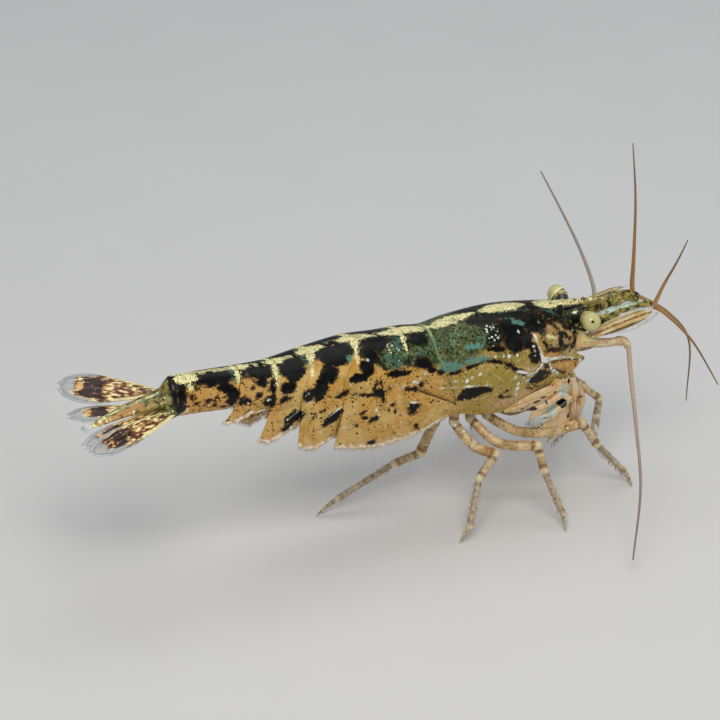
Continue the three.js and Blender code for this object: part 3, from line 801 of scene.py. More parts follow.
BLUSH_MARKS = [
    (0.2, 6.3, 1.8, 0.5, -12), (0.75, 4.38, 0.75, 0.22, -4), (3.0, 3.55, 0.9, 0.12),
    (-12.9, 6.2, 0.6, 0.5), (-9.0, 7.2, 2.0, 0.4),
]

# The kinds of mark by the stamp that carries them, three to a stamp.
PIGMENTS = {
    "ink": (BLACK_MARKS, CREAM_MARKS, WHITE_MARKS),
    "wash": (TEAL_MARKS, TURQUOISE_MARKS, OLIVE_MARKS),
    "veil": (LEAF_MARKS, CHEEK_MARKS, SPARKLE_MARKS),
    "earth": (AMBER_MARKS, DUSK_MARKS, BLUSH_MARKS),
}
FAR_OFF = 1.5


def oval(x, girth, half_length, half_girth=None, turn=0):
    """A mark's five numbers in full."""
    return x, girth, half_length, half_girth or half_length, turn


def ready(shapes, low, high):
    """The marks that reach into a stretch of the body, with their turns worked out."""
    made_ready = []
    for shape in shapes:
        x, girth, half_length, half_girth, turn = oval(*shape)
        widest = max(half_length, half_girth) + FAR_OFF
        if low < x + widest and x - widest < high:
            cos = math.cos(math.radians(turn))
            sin = math.sin(math.radians(turn))
            made_ready.append((x, girth, half_length, half_girth, cos, sin, widest))
    return made_ready


def reach(shapes, x, girth):
    """How far a place on the shell is outside the nearest oval mark, in mm, and below 0 inside."""
    nearest = FAR_OFF
    for middle_x, middle_girth, half_length, half_girth, cos, sin, widest in shapes:
        right = x - middle_x
        down = girth - middle_girth
        if abs(right) > widest or abs(down) > widest:
            continue
        along = (right * cos + down * sin) / half_length
        across = (down * cos - right * sin) / half_girth
        size = math.hypot(along, across)
        slope = math.hypot(along / half_length, across / half_girth)
        far = size * (size - 1) / slope if slope > 1e-6 else -min(half_length, half_girth)
        nearest = min(nearest, far)
    return nearest


def stamp_pigments(bm):
    """Writes on each point of a plate how far it is from each kind of mark."""
    laid = bm.verts.layers.float_vector["laid"]
    places = [vert[laid].copy() for vert in bm.verts]
    low = min(place.x for place in places)
    high = max(place.x for place in places)
    for name, kinds in PIGMENTS.items():
        layer = bm.verts.layers.float_vector.new(name)
        kinds = [ready(shapes, low, high) for shapes in kinds]
        for vert, place in zip(bm.verts, places):
            vert[layer] = [reach(shapes, place.x, place.y) for shapes in kinds]


def shell_finish():
    """The painted and varnished look of the plates."""
    f = Finish(
        "shell_varnish", Coat_Weight=0.1, Coat_Roughness=0.1, Specular_IOR_Level=0.14,
        Subsurface_Weight=0.06, Subsurface_Scale=0.12 * MM, Subsurface_Radius=(1.0, 0.7, 0.4),
    )
    place = f.place()
    x, girth, _ = f.parts(f.stamp("laid"))
    _, ahead_of_hind, above_hem = f.parts(f.stamp("edges"))
    black, cream, white = f.parts(f.stamp("ink"))
    teal, turquoise, olive = f.parts(f.stamp("wash"))
    leaf, cheek, sparkle = f.parts(f.stamp("veil"))
    amber, dusk, blush = f.parts(f.stamp("earth"))
    broad = f.noise(place, 1.6, 3)
    mottle = f.noise(place, 0.5, 3, 0.6)
    fine = f.noise(place, 0.2, 3, 0.65)
    grain = f.noise(place, 0.07, 2)
    rag = (mottle - 0.5) * 0.5 + (fine - 0.5) * 0.4 + (grain - 0.5) * 0.2

    # Flanks: sandy tan, with olive clouds, paler films and rusty blotches.
    f.colour = f.cover(TAN, ORANGE_TAN, f.step(broad, 0.4, 0.6))
    f.lay(OLIVE, f.step(mottle, 0.46, 0.7) * 0.6)
    f.lay(PALE, f.step(f.noise(place, 0.8, 3), 0.56, 0.76) * 0.4)
    f.lay(OLIVE, f.step(x + (broad - 0.5) * 3, -4.6, -3) * 0.65)
    f.lay(GOLD_OLIVE, f.step(olive + rag * 1.5, 0.2, -0.3) * 0.8)
    f.lay(PINK_TAN, f.step(blush + rag * 1.5, 0.2, -0.4) * 0.6)
    sheen = f.step(f.noise(place, 0.28, 3, 0.6), 0.58, 0.68) * f.step(girth, 2.6, 3.4)
    f.lay(PALE, sheen * 0.5)
    f.lay(AMBER, f.step(x + rag * 2, -13, -17) * 0.6)
    rust = f.step(f.noise(place, 0.24, 3, 0.6), 0.56, 0.61) * f.step(x + rag * 3, -13.5, -15.5)
    rust = rust | (f.step(f.noise(place, 0.24, 2), 0.66, 0.7) * 0.8)
    flank = f.step(girth, 2.2, 2.8) | f.step(x, -10, -12)
    f.lay(BROWN, rust * flank)
    # Back: near black with mossy specks, and leaf green towards the shield.
    back = f.cover(MOSS, NIGHT, f.step(fine, 0.36, 0.5))
    limit = 1.0 + 1.5 * f.step(x, -10.5, -8)
    saddle = f.step(girth - limit + rag * 1.5, 0.15, -0.15)
    f.lay(back, saddle)
    green = f.cover(LEAF, MOSS, f.step(mottle, 0.36, 0.52) * 0.85)
    green = f.cover(green, TURQUOISE, f.step(f.noise(place, 0.9, 2), 0.54, 0.7) * 0.5)
    green = f.cover(green, GOLD_OLIVE, f.step(f.noise(place, 0.4, 3, 0.6), 0.52, 0.62) * 0.5)
    green = f.cover(green, NIGHT, f.step(f.noise(place, 0.13, 3, 0.6), 0.5, 0.58) * 0.85)
    green = f.cover(green, NIGHT, f.step(fine, 0.54, 0.61) * 0.85)
    f.lay(green, f.step(leaf + rag * 1.5, 0.25, -0.25) * 0.92)
    soot = f.step(fine, 0.44, 0.54) * f.step(dusk + rag, 0.2, -0.3)
    f.lay(NIGHT, soot * 0.9)
    face = f.cover(FACE_OLIVE, FACE_CREAM, f.step(f.noise(place, 0.6, 3), 0.46, 0.66) * 0.8)
    face = f.cover(face, UMBER, f.step(f.noise(place, 0.34, 3, 0.6), 0.47, 0.6) * 0.8)
    face = f.cover(face, NIGHT, f.step(f.noise(place, 0.3, 3, 0.6), 0.56, 0.62) * 0.85)
    f.lay(face, f.step(cheek + rag, 0.15, -0.15))
    ochre = f.cover(AMBER, PALE, f.step(fine, 0.5, 0.7) * 0.4)
    ochre = f.cover(ochre, GOLD_OLIVE, f.step(mottle, 0.5, 0.66) * 0.45)
    f.lay(ochre, f.step(amber + rag * 0.8, 0.12, -0.16) * 0.88)
    dots = f.specks(place, 0.34, 0.065, 0.85) * f.step(mottle, 0.34, 0.42)
    small_dots = f.specks(place, 0.19, 0.036, 0.7) * f.step(broad, 0.42, 0.5)
    f.lay(BROWN, (dots | small_dots) * f.step(girth, 2.4, 3.0))
    f.lay(TEAL, f.step(teal + rag, 0.06, -0.1) * f.step(fine, 0.56, 0.5) * 0.85)
    wander = rag * (1 - f.step(cheek, 0.3, -0.2) * 0.5)
    halo = f.specks(place, 0.15, 0.05, 0.75) * f.step(black + rag, 0.34, 0.1)
    f.lay(BROWN, halo * f.step(girth, 1.6, 2.4) * 0.9)
    f.lay(BROWN, f.step(black + wander, 0.1, 0.02) * 0.8)
    ink = f.cover(BLACK, paint(20, 30, 22), f.step(mottle, 0.5, 0.6))
    rusty = f.step(f.noise(place, 0.4, 3, 0.6), 0.55, 0.62) * f.step(x, 0.6, 1.6)
    ink = f.cover(ink, BROWN, rusty * 0.9)
    golden = f.step(f.noise(place, 0.2, 3, 0.6), 0.62, 0.67) * f.step(x, 1.4, 2)
    ink = f.cover(ink, GOLD_OLIVE, golden)
    f.lay(ink, f.step(black + wander, 0.03, -0.04))
    film = f.step(f.noise(place, 0.12, 3, 0.6), 0.66, 0.58)
    f.lay(TURQUOISE, f.step(turquoise + rag * 0.9, 0.06, -0.1) * film * 0.85)
    bone = f.cover(CREAM, GOLD_OLIVE, f.step(grain + (fine - 0.5) * 0.6, 0.56, 0.7) * 0.85)
    bone = f.cover(bone, LEAF, f.step(mottle, 0.5, 0.62) * 0.5)
    crumbs = f.step(f.noise(place, 0.11, 3, 0.7) + f.step(cream, -0.16, 0.06) * 0.16, 0.62, 0.58)
    ridge = f.step(girth + rag * 0.8, 0.3, 0.16) * f.step(f.noise(place, 0.5, 2), 0.47, 0.53)
    ridge = ridge * f.step(x, -4.6, -5)
    bones = (f.step(cream + rag * 0.9, 0.08, -0.06) * crumbs) | (ridge * 0.75)
    f.lay(bone, bones)
    # White and gold grains.
    grains = f.specks(place, 0.17, 0.066, 0.9) * f.step(sparkle + rag * 0.5, 0.05, -0.05)
    grains = grains | (f.specks(place, 0.44, 0.05, 0.4) * f.step(girth, 1.4, 2.2))
    pale = (f.step(white + rag * 0.55, 0.05, -0.03) * 0.9) | grains
    hem = f.step(above_hem + rag * 1.1, 0.3, 0.14) * f.step(x, -4.2, -4.6)
    f.lay(f.cover(HEM_CREAM, PINK_TAN, f.step(fine, 0.42, 0.56) * 0.85), hem * 0.95)
    f.lay(f.cover(WHITE, FROST, f.step(mottle, 0.44, 0.56)), pale)
    band = f.step(ahead_of_hind, 0.2, 0.1) * f.step(x, -5.6, -5.2) * f.step(girth, 4.6, 3)
    f.lay(LEAF, band * 0.7)
    f.feed("Base Color", f.colour)
    f.feed("Roughness", 0.3 + fine * 0.2)
    f.bump(fine * 0.5 + grain * 0.3 + pale * 0.3, 0.02)
    return f


# ---- The other finishes ---------------------------------------------------------------------

def floor_finish():
    """Pale grey with a faint cloudiness."""
    f = Finish("pale_floor", Roughness=0.65)
    spread = f.noise(f.place(), 9, 3)
    f.feed("Base Color", f.cover((0.74, 0.74, 0.73), (0.78, 0.78, 0.77), spread))
    return f


def limb_finish():
    """Half-clear sandy shell, banded near the body and stippled grey towards the toes, with pale
    joints, brown spots and white flecks."""
    f = Finish("limb_shell", Coat_Weight=0.2, Coat_Roughness=0.12, Specular_IOR_Level=0.35,
               Subsurface_Weight=0.25, Subsurface_Scale=0.25 * MM,
               Subsurface_Radius=(1.0, 0.75, 0.5))
    place = f.place()
    far, _, _ = f.parts(f.stamp("laid"))
    near, _, number = f.parts(f.stamp("edges"))
    broad = f.noise(place, 0.7, 2)
    fine = f.noise(place, 0.16, 3, 0.6)
    grain = f.noise(place, 0.06, 2)
    rag = (fine - 0.5) * 0.2
    f.colour = f.cover(paint(222, 194, 146), paint(192, 156, 104), f.step(broad, 0.4, 0.6))
    f.lay(OLIVE, f.step(f.noise(place, 0.3, 2), 0.5, 0.68) * 0.6)
    f.lay(GREY, f.step(number, 1.5, 2.6) * 0.7)
    bands = f.noise(f.spot_at(far + number * 9), 0.55, 1)
    rough_bands = bands + rag * 0.6
    f.lay(RUST, f.step(rough_bands, 0.56, 0.66) * f.step(number, 2.6, 1.8) * 0.5)
    f.lay(PALE, f.step(rough_bands, 0.42, 0.34) * 0.4)
    ruddy = f.step(f.noise(place, 0.2, 3, 0.6), 0.58, 0.64)
    f.lay(BROWN, ruddy * 0.7)
    stipple = f.specks(place, 0.12, 0.032, 0.7) * f.step(number, 1.5, 2.4)
    f.lay(BROWN, stipple * 0.8)
    rings = f.step(near + rag * 1.6, 0.2, 0.24) * f.step(near + rag * 1.6, 0.44, 0.38)
    joint_brown = f.cover(RUST, BROWN, f.step(fine, 0.46, 0.58) * 0.8)
    f.lay(joint_brown, rings * 0.72 * f.step(number, 3.4, 2.6))
    spots = f.specks(place, 0.42, 0.1, 0.7) * f.step(number, 3.4, 2.6)
    f.lay(BROWN, spots * 0.9)
    f.lay(PALE, f.step(near + rag, 0.16, 0.06) * 0.8)
    flecks = f.specks(place, 0.42, 0.085, 0.6) * f.step(number, 2.6, 1.6)
    f.lay(WHITE, flecks)
    f.feed("Base Color", f.colour)
    f.feed("Roughness", 0.28 + fine * 0.2)
    f.bump(fine * 0.6 + grain * 0.3 + flecks * 0.3, 0.02)
    return f


# Dark spots and pale films on the mouth, as (x, height, half length, half height).
MOUTH_SPOTS = [
    (2.95, 5.85, 0.25, 0.3), (1.35, 6.24, 0.26, 0.12), (1.75, 6.46, 0.2, 0.09),
    (1.2, 5.76, 0.24, 0.13), (1.95, 6.1, 0.07, 0.13), (3.5, 4.75, 0.1, 0.17),
    (3.5, 6.95, 0.1, 0.17), (-0.3, 5.75, 0.24, 0.06), (0.5, 5.95, 0.14, 0.06),
]
MOUTH_FILMS = [(2.3, 5.6, 0.3, 0.5), (1.65, 4.95, 0.55, 0.4), (3.1, 6.6, 0.45, 0.3)]


def mouth_finish():
    """Half-clear pinkish shell with dark spots, pale films and fine rusty lines in front."""
    f = Finish(
        "mouth_shell", Roughness=0.35, Coat_Weight=0.4, Coat_Roughness=0.15,
        Subsurface_Weight=0.35, Subsurface_Scale=0.4 * MM, Subsurface_Radius=(1.0, 0.6, 0.4),
    )
    place = f.place()
    broad = f.noise(place, 0.8, 2)
    fine = f.noise(place, 0.18, 3, 0.6)
    f.colour = f.cover(paint(222, 186, 142), PALE, f.step(broad, 0.46, 0.66) * 0.7)
    f.lay(TAN, f.step(f.noise(place, 0.5, 2), 0.5, 0.7) * 0.7)
    x, _, height = f.parts(place)
    x = x - MIDDLE.x
    rag = (fine - 0.5) * 0.5
    f.lay(AMBER, f.step(f.noise(place, 0.7, 3), 0.56, 0.66) * 0.6)
    f.lay(BROWN, f.specks(place, 0.5, 0.09, 0.3))
    f.lay(BROWN, f.step(f.noise(place, 0.4, 3), 0.64, 0.68) * 0.9)
    brow_lines = f.noise(f.spot_at(x * 3, z=height * 0.5), 0.5, 2)
    front = f.step(x + rag * 0.6, 3.3, 3.6) * f.step(height, 6.4, 5.8)
    f.lay(RUST, front * f.step(brow_lines, 0.5, 0.6) * 0.8)
    for spots, pigment, strength in ((MOUTH_FILMS, FROST, 0.75), (MOUTH_SPOTS, NIGHT, 1.0)):
        for middle_x, middle_height, long, tall in spots:
            off_x = (x - middle_x) * (1 / long)
            off_height = (height - middle_height) * (1 / tall)
            off = off_x * off_x + off_height * off_height + rag * 1.6
            f.lay(pigment, f.step(off, 1.15, 0.7) * strength)
    f.feed("Base Color", f.colour)
    f.feed("Roughness", 0.3 + fine * 0.2)
    f.bump(fine, 0.02)
    return f


def flesh_finish():
    """Pink flesh with a few brown freckles, and dark and mossy on the brow."""
    f = Finish("flesh", Roughness=0.45, Subsurface_Weight=0.3, Subsurface_Scale=0.5 * MM,
               Subsurface_Radius=(1.0, 0.5, 0.3))
    place = f.place()
    fine = f.noise(place, 0.3, 3)
    x, _, height = f.parts(place)
    f.colour = f.cover(PINK_TAN, OLIVE, f.step(fine, 0.4, 0.7))
    f.lay(BROWN, f.specks(place, 0.4, 0.06, 0.3) * 0.7)
    brow = f.step(x - MIDDLE.x, 1.5, 2) * f.step(height + (fine - 0.5) * 0.6, 9.2, 9.5)
    f.lay(f.cover(NIGHT, MOSS, f.step(fine, 0.5, 0.62)), brow)
    f.feed("Base Color", f.colour)
    f.bump(fine, 0.04)
    return f


def feeler_finish(name, root, tip, ring_spacing=0.09):
    """A whip of fine rings, that fades from one colour at its root to another at its tip."""
    f = Finish(name, Roughness=0.4, Coat_Weight=0.2, Subsurface_Weight=0.2,
               Subsurface_Scale=0.15 * MM)
    far, _, _ = f.parts(f.stamp("laid"))
    _, share, _ = f.parts(f.stamp("edges"))
    rings = f.wave(far * (2 * math.pi / ring_spacing)) * 0.5 + 0.5
    blotches = f.noise(f.place(), 0.5, 2)
    f.colour = f.cover(root, tip, f.step(share + (blotches - 0.5) * 0.2, 0.1, 0.9))
    f.lay(BROWN, f.step(rings, 0.5, 0.95) * 0.22)
    f.feed("Base Color", f.colour)
    f.bump(1 - rings, 0.008)
    return f


def stem_finish():
    """Dark mossy mottling, with a pale line along the upper side."""
    f = Finish("stem_shell", Coat_Weight=0.2, Coat_Roughness=0.12, Specular_IOR_Level=0.25,
               Subsurface_Weight=0.1, Subsurface_Scale=0.2 * MM)
    place = f.place()
    far, height, _ = f.parts(f.stamp("laid"))
    _, _, number = f.parts(f.stamp("edges"))
    fine = f.noise(place, 0.16, 3, 0.6)
    broad = f.noise(place, 0.5, 2)
    f.colour = f.cover(paint(172, 160, 88), GOLD_OLIVE, f.step(broad, 0.38, 0.5))
    f.lay(MOSS, f.step(f.noise(place, 0.18, 3), 0.48, 0.58) * 0.8)
    f.lay(AMBER, f.step(f.noise(place, 0.4, 2), 0.56, 0.66) * 0.7)
    gloom = f.step(far + number * 3, 2.0, 0.6) * 0.1
    dark = f.step(f.noise(place, 0.32, 4, 0.68) + gloom, 0.5, 0.55)
    f.lay(NIGHT, dark * 0.92)
    f.lay(CREAM, f.step(f.noise(place, 0.24, 4, 0.65), 0.6, 0.65) * 0.85)
    _, breadth, _ = f.parts(place)
    line = f.step(height + (broad - 0.5) * 0.16 + (fine - 0.5) * 0.16, 0.355, 0.375)
    line = line * f.step(breadth - MIDDLE.y, 0.1, -0.1) * f.step(far + number * 3, 1.2, 1.8)
    f.lay(f.cover(paint(196, 214, 200), LEAF, f.step(fine, 0.5, 0.58)), line)
    f.feed("Base Color", f.colour)
    f.feed("Roughness", 0.24 + fine * 0.2)
    f.bump(fine, 0.02)
    return f


def eye_finish():
    """Pale yellow-green with fine rings round a small dark pupil, under a clear cornea."""
    f = Finish("eye_ball", Roughness=0.3, Coat_Weight=0.6, Coat_Roughness=0.04,
               Subsurface_Weight=0.15, Subsurface_Scale=0.3 * MM)
    from_pupil, _, _ = f.parts(f.stamp("laid"))
    fine = f.noise(f.place(), 0.12, 2)
    rings = f.wave((from_pupil + (fine - 0.5) * 0.05) * 64)
    f.colour = f.cover(EYE_GREEN, PALE, f.step(f.noise(f.place(), 0.5, 2), 0.4, 0.6) * 0.5)
    rim_only = f.step(from_pupil, 0.12, 0.45)
    f.lay(CREAM, f.step(rings, 0.2, 0.9) * 0.1 * rim_only)
    patches = f.step(f.noise(f.place(), 0.5, 1), 0.35, 0.65)
    f.lay(OLIVE, f.step(rings, -0.5, -0.95) * (0.1 + patches * 0.2) * rim_only)
    f.lay(CREAM, f.step(from_pupil, 0.8, 0.86))
    f.lay(NIGHT, f.step(from_pupil, 0.93, 0.98))
    f.lay(CREAM, f.step(from_pupil, 1.02, 1.05) * f.step(from_pupil, 1.12, 1.09))
    f.lay(NIGHT, f.step(from_pupil, 1.12, 1.16))
    f.lay(BLACK, f.step(from_pupil + (fine - 0.5) * 0.05, 0.1, 0.07))
    f.feed("Base Color", f.colour)
    return f


def eyestalk_finish():
    """Dark moss with a cream crown, and a pale cup that holds the eye."""
    f = Finish("eyestalk_shell", Roughness=0.25, Coat_Weight=0.6, Coat_Roughness=0.1)
    place = f.place()
    _, share, _ = f.parts(f.stamp("edges"))
    fine = f.noise(place, 0.12, 3, 0.6)
    _, height, _ = f.parts(f.stamp("laid"))
    wavy = share + (fine - 0.5) * 0.2
    bands = f.noise(f.spot_at(height * 2), 0.2, 1)
    f.colour = f.cover(DARK_MOSS, TEAL, f.step(fine, 0.54, 0.7) * 0.6)
    crown = f.step(height + (fine - 0.5) * 0.1, 0.2, 0.25) * f.step(wavy, 0.42, 0.36)
    crown = crown * f.step(wavy, 0.14, 0.2)
    f.lay(CREAM, crown)
    f.lay(BROWN, f.step(wavy, 0.6, 0.66))
    cup = f.cover(EYE_GREEN, OLIVE, f.step(bands, 0.5, 0.56))
    f.lay(cup, f.step(wavy, 0.74, 0.8))
    f.feed("Base Color", f.colour)
    f.bump(fine, 0.015)
    return f


def fan_finish():
    """A blade of the tail fan: mottled cream and rust at the root, a dark red-brown heart, an
    orange spot behind it and a clear grey rim with fine rays."""
    f = Finish("fan_shell", Coat_Weight=0.2, Coat_Roughness=0.1, Specular_IOR_Level=0.3,
               Subsurface_Weight=0.1, Subsurface_Scale=0.15 * MM)
    place = f.place()
    far, across, _ = f.parts(f.stamp("laid"))
    from_edge, share, turn = f.parts(f.stamp("edges"))
    fine = f.noise(place, 0.2, 3, 0.6)
    broad = f.noise(place, 0.55, 2)
    streaks = f.noise(f.spot_at(far * 0.4, across * 1.3, turn), 0.22, 2, 0.6)
    rag = (fine - 0.5) * 0.25 + (broad - 0.5) * 0.2
    f.colour = f.cover(AMBER, RUST, f.step(broad, 0.42, 0.58))
    f.lay(OLIVE, f.step(share + rag, 0.3, 0.1) * 0.7)
    f.lay(MAROON, f.step(streaks + rag * 0.4, 0.5, 0.56) * 0.9)
    f.lay(CREAM, f.step(streaks + rag * 0.5, 0.47, 0.42))
    middle = from_edge + rag * 0.5
    heart = f.step(share + rag, 0.55, 0.6) * f.step(share + rag, 0.82, 0.77)
    heart = heart * f.step(middle, 0.16, 0.24)
    f.lay(MAROON, heart)
    f.lay(BLACK, heart * f.step(streaks, 0.46, 0.54) * 0.85)
    f.lay(PINK_TAN, heart * f.step(streaks, 0.38, 0.33) * 0.7)
    rim = f.step(from_edge + rag * 0.3, 0.2, 0.12) * f.step(share, 0.3, 0.5)
    f.lay(CREAM, f.step(from_edge, 0.2, 0.1) * f.step(share + rag, 0.6, 0.4) * 0.8)
    rim = (rim * f.step(share + rag, 0.6, 0.75)) | f.step(share + rag * 0.4, 0.84, 0.9)
    rays = f.wave(across * 70 + far * 6) * 0.5 + 0.5
    glass = f.cover(paint(178, 182, 180), paint(208, 210, 206), rays)
    f.lay(glass, rim)
    off = (share - 0.81) * (share - 0.81) * 420 + across * across * 9
    spot = f.step(off + rag * 2.5, 1.0, 0.3) * f.step(streaks, 0.56, 0.5)
    f.lay(ORANGE_SPOT, spot * 0.9)
    f.feed("Base Color", f.colour)
    f.feed("Roughness", 0.25 + fine * 0.2)
    f.feed("Alpha", 1 - rim * 0.35)
    f.bump(fine * 0.5 + rays * 0.25, 0.02)
    return f


def scale_finish():
    """A thin half-clear scale with fine rusty lines along it."""
    f = Finish("scale_shell", Roughness=0.3, Coat_Weight=0.3, Subsurface_Weight=0.3,
               Subsurface_Scale=0.2 * MM)
    place = f.place()
    _, across, _ = f.parts(f.stamp("laid"))
    fine = f.noise(place, 0.2, 3)
    lines = f.wave(across * 26 + (fine - 0.5) * 2)
    f.colour = f.cover(PALE, TAN, f.step(f.noise(place, 0.5, 2), 0.4, 0.6))
    f.lay(GOLD_OLIVE, f.step(lines, -0.2, 0.5) * 0.6)
    f.lay(RUST, f.step(lines + (fine - 0.5) * 2.2, 0.6, 1.0) * 0.9)
    f.lay(BROWN, f.step(across + (fine - 0.5) * 0.2, 0.24, 0.34) * 0.7)
    f.feed("Base Color", f.colour)
    f.feed("Alpha", 0.78 + fine * 0.2)
    f.bump(lines * 0.5 + fine * 0.3, 0.015)
    return f


def bristle_finish(name, colour, other):
    """Bristles of two near colours."""
    f = Finish(name, Roughness=0.45, Subsurface_Weight=0.2, Subsurface_Scale=0.1 * MM)
    f.feed("Base Color", f.cover(colour, other, f.step(f.noise(f.place(), 0.3, 2), 0.4, 0.6)))
    return f


def feeler_stem_finish():
    """Pinkish tan with faint brown freckles near the joints, and on the base joint a painted
    highlight in cream along the top and painted shade in brown along the underside.
    """
    f = Finish("antenna_shell", Roughness=0.32, Coat_Weight=0.4, Coat_Roughness=0.15,
               Subsurface_Weight=0.3, Subsurface_Scale=0.3 * MM)
    place = f.place()
    near, share, number = f.parts(f.stamp("edges"))
    fine = f.noise(place, 0.16, 3, 0.6)
    f.colour = f.cover(PINK_TAN, PALE, f.step(f.noise(place, 0.5, 2), 0.42, 0.62))
    f.lay(BROWN, f.step(fine, 0.6, 0.68) * f.step(near, 0.4, 0.1) * 0.8)
    f.lay(TAN, f.step(number, 0.6, 0.3) * 0.7)
    _, height, _ = f.parts(f.stamp("laid"))
    # Painted light on the base joint: a cream highlight along its top and brown shade along its
    # underside.
    base_lit_and_shaded = f.step(number, 0.6, 0.3) * f.step(share, 0.3, 0.4)
    f.lay(BROWN, base_lit_and_shaded * f.step(height + (fine - 0.5) * 0.2, -0.1, -0.2) * 0.7)
    f.lay(CREAM, base_lit_and_shaded * f.step(height + (fine - 0.5) * 0.2, 0.14, 0.24) * 0.5)
    f.lay(BROWN, f.step(f.noise(place, 0.3, 2), 0.64, 0.68) * 0.8)
    f.feed("Base Color", f.colour)
    f.bump(fine, 0.02)
    return f


def beak_finish():
    """Cream with fine olive lines, and black painted shade low on the sides towards the root."""
    f = Finish("rostrum_shell", Roughness=0.3, Coat_Weight=0.5, Coat_Roughness=0.12,
               Subsurface_Weight=0.15, Subsurface_Scale=0.3 * MM)
    place = f.place()
    x, drop, _ = f.parts(f.stamp("laid"))
    fine = f.noise(place, 0.16, 3, 0.6)
    f.colour = f.cover(CREAM, EYE_GREEN, f.step(f.noise(place, 0.35, 2), 0.45, 0.6))
    ahead = f.step(x + (fine - 0.5) * 1.6, 3.6, 4.4)
    f.lay(GOLD_OLIVE, f.step(f.noise(place, 0.3, 3), 0.42, 0.54) * ahead * 0.9)
    f.lay(MOSS, f.step(fine, 0.6 - ahead * 0.1, 0.66 - ahead * 0.08) * 0.85)
    f.lay(GOLD_OLIVE, f.step(drop + (fine - 0.5) * 0.3, 0.2, 0.3) * 0.8)
    f.lay(BROWN, f.step(f.noise(place, 0.3, 2), 0.6, 0.65) * 0.9)
    # Painted shade: black low on the sides of the root end, for the shadowed rim of the eye sockets.
    f.lay(BLACK, f.step(drop + (fine - 0.5) * 0.2, 0.3, 0.36) * f.step(x, 5.4, 5))
    f.feed("Base Color", f.colour)
    f.bump(fine, 0.02)
    return f


def telson_finish():
    """Dark olive with a green ridge, amber behind it, brown flecks and a white tip."""
    f = Finish("telson_shell", Coat_Weight=0.25, Coat_Roughness=0.1, Specular_IOR_Level=0.25,
               Subsurface_Weight=0.1, Subsurface_Scale=0.15 * MM)
    place = f.place()
    x, y, _ = f.parts(place)
    x = x - MIDDLE.x
    y = y - MIDDLE.y
    fine = f.noise(place, 0.2, 3, 0.6)
    broad = f.noise(place, 0.5, 2)
    rag = (fine - 0.5) * 0.6 + (broad - 0.5) * 0.5
    f.colour = f.cover(OLIVE, MOSS, f.step(broad, 0.42, 0.56))
    f.lay(AMBER, f.step(x + rag * 2, -21.6, -22.4) * 0.85)
    f.lay(BROWN, f.step(f.noise(place, 0.3, 3), 0.56, 0.62) * 0.85)
    f.lay(CREAM, f.step(f.noise(place, 0.26, 2), 0.65, 0.7) * 0.9)
    ridge = f.step(y * y + (fine - 0.5) * 0.03, 0.02, 0.01) * f.step(x, -20.6, -21)
    f.lay(f.cover(LEAF, CREAM, f.step(fine, 0.45, 0.6)), ridge)
    f.lay(BLACK, f.step(x + rag * 0.7, -20.5, -20.3))
    f.lay(CREAM, f.step(f.noise(place, 0.22, 1), 0.48, 0.56) * f.step(x, -23.6, -24.2))
    f.lay(WHITE, f.step(x + rag * 0.3, -24.75, -24.9))
    f.feed("Base Color", f.colour)
    f.feed("Roughness", 0.26 + fine * 0.2)
    f.bump(fine, 0.02)
    return f


# ---- Trunk ----------------------------------------------------------------------------------

def add_carapace(finish):
    """The head shield, with its toothed beak."""
    shield = plate_form("carapace")
    heights = profile([(0, 0.3), (0.3, 0.34), (0.6, 0.27), (0.85, 0.16), (1, 0.05)])
    widths = profile([(0, 0.5), (0.3, 0.42), (0.6, 0.22), (0.85, 0.12), (1, 0.04)])
    line = [(2.6, 0, 10.98), (3.8, 0, 10.84), (4.8, 0, 10.78), (5.7, 0, 10.76), (6.6, 0, 10.72)]
    rostrum = rod(line, lambda t: (heights(t), widths(t)), steps=40, sides=24)
    start = line[0][0]
    length = line[-1][0] - start
    middle_line = Course(line)
    teeth = []
    for i in range(7):
        x = 3.5 + 0.42 * i
        z = middle_line.at(x - start)[0].z + heights((x - start) / length) - 0.03
        places = [(x - 0.22, 0, z - 0.02), (x, 0, z + 0.04), (x + 0.16, 0, z + 0.1)]
        teeth.append(rod(places, lambda t: (0.07 * (1 - t) + 0.015, 0.05 * (1 - t) + 0.012),
                         steps=4, sides=6))
    beak = gathered(rostrum, *teeth)
    laid = beak.verts.layers.float_vector["laid"]
    edges = beak.verts.layers.float_vector["edges"]
    for vert in beak.verts:
        vert[laid] = (vert.co.x, 0.5 * (11.1 - vert.co.z) + abs(vert.co.y) * 0.8, 0)
        vert[edges] = (AWAY_FROM_EDGES,) * 3
    made(shield, "carapace_shield", finish, ("carapace",), wall=PLATE_WALL)
    made(beak, "rostrum", beak_finish())


def add_pleon(finish):
    """The first five rings of the tail."""
    for name in list(PLATES)[1:]:
        made(plate_form(name), name + "_plate", finish, (name,), wall=PLATE_WALL)


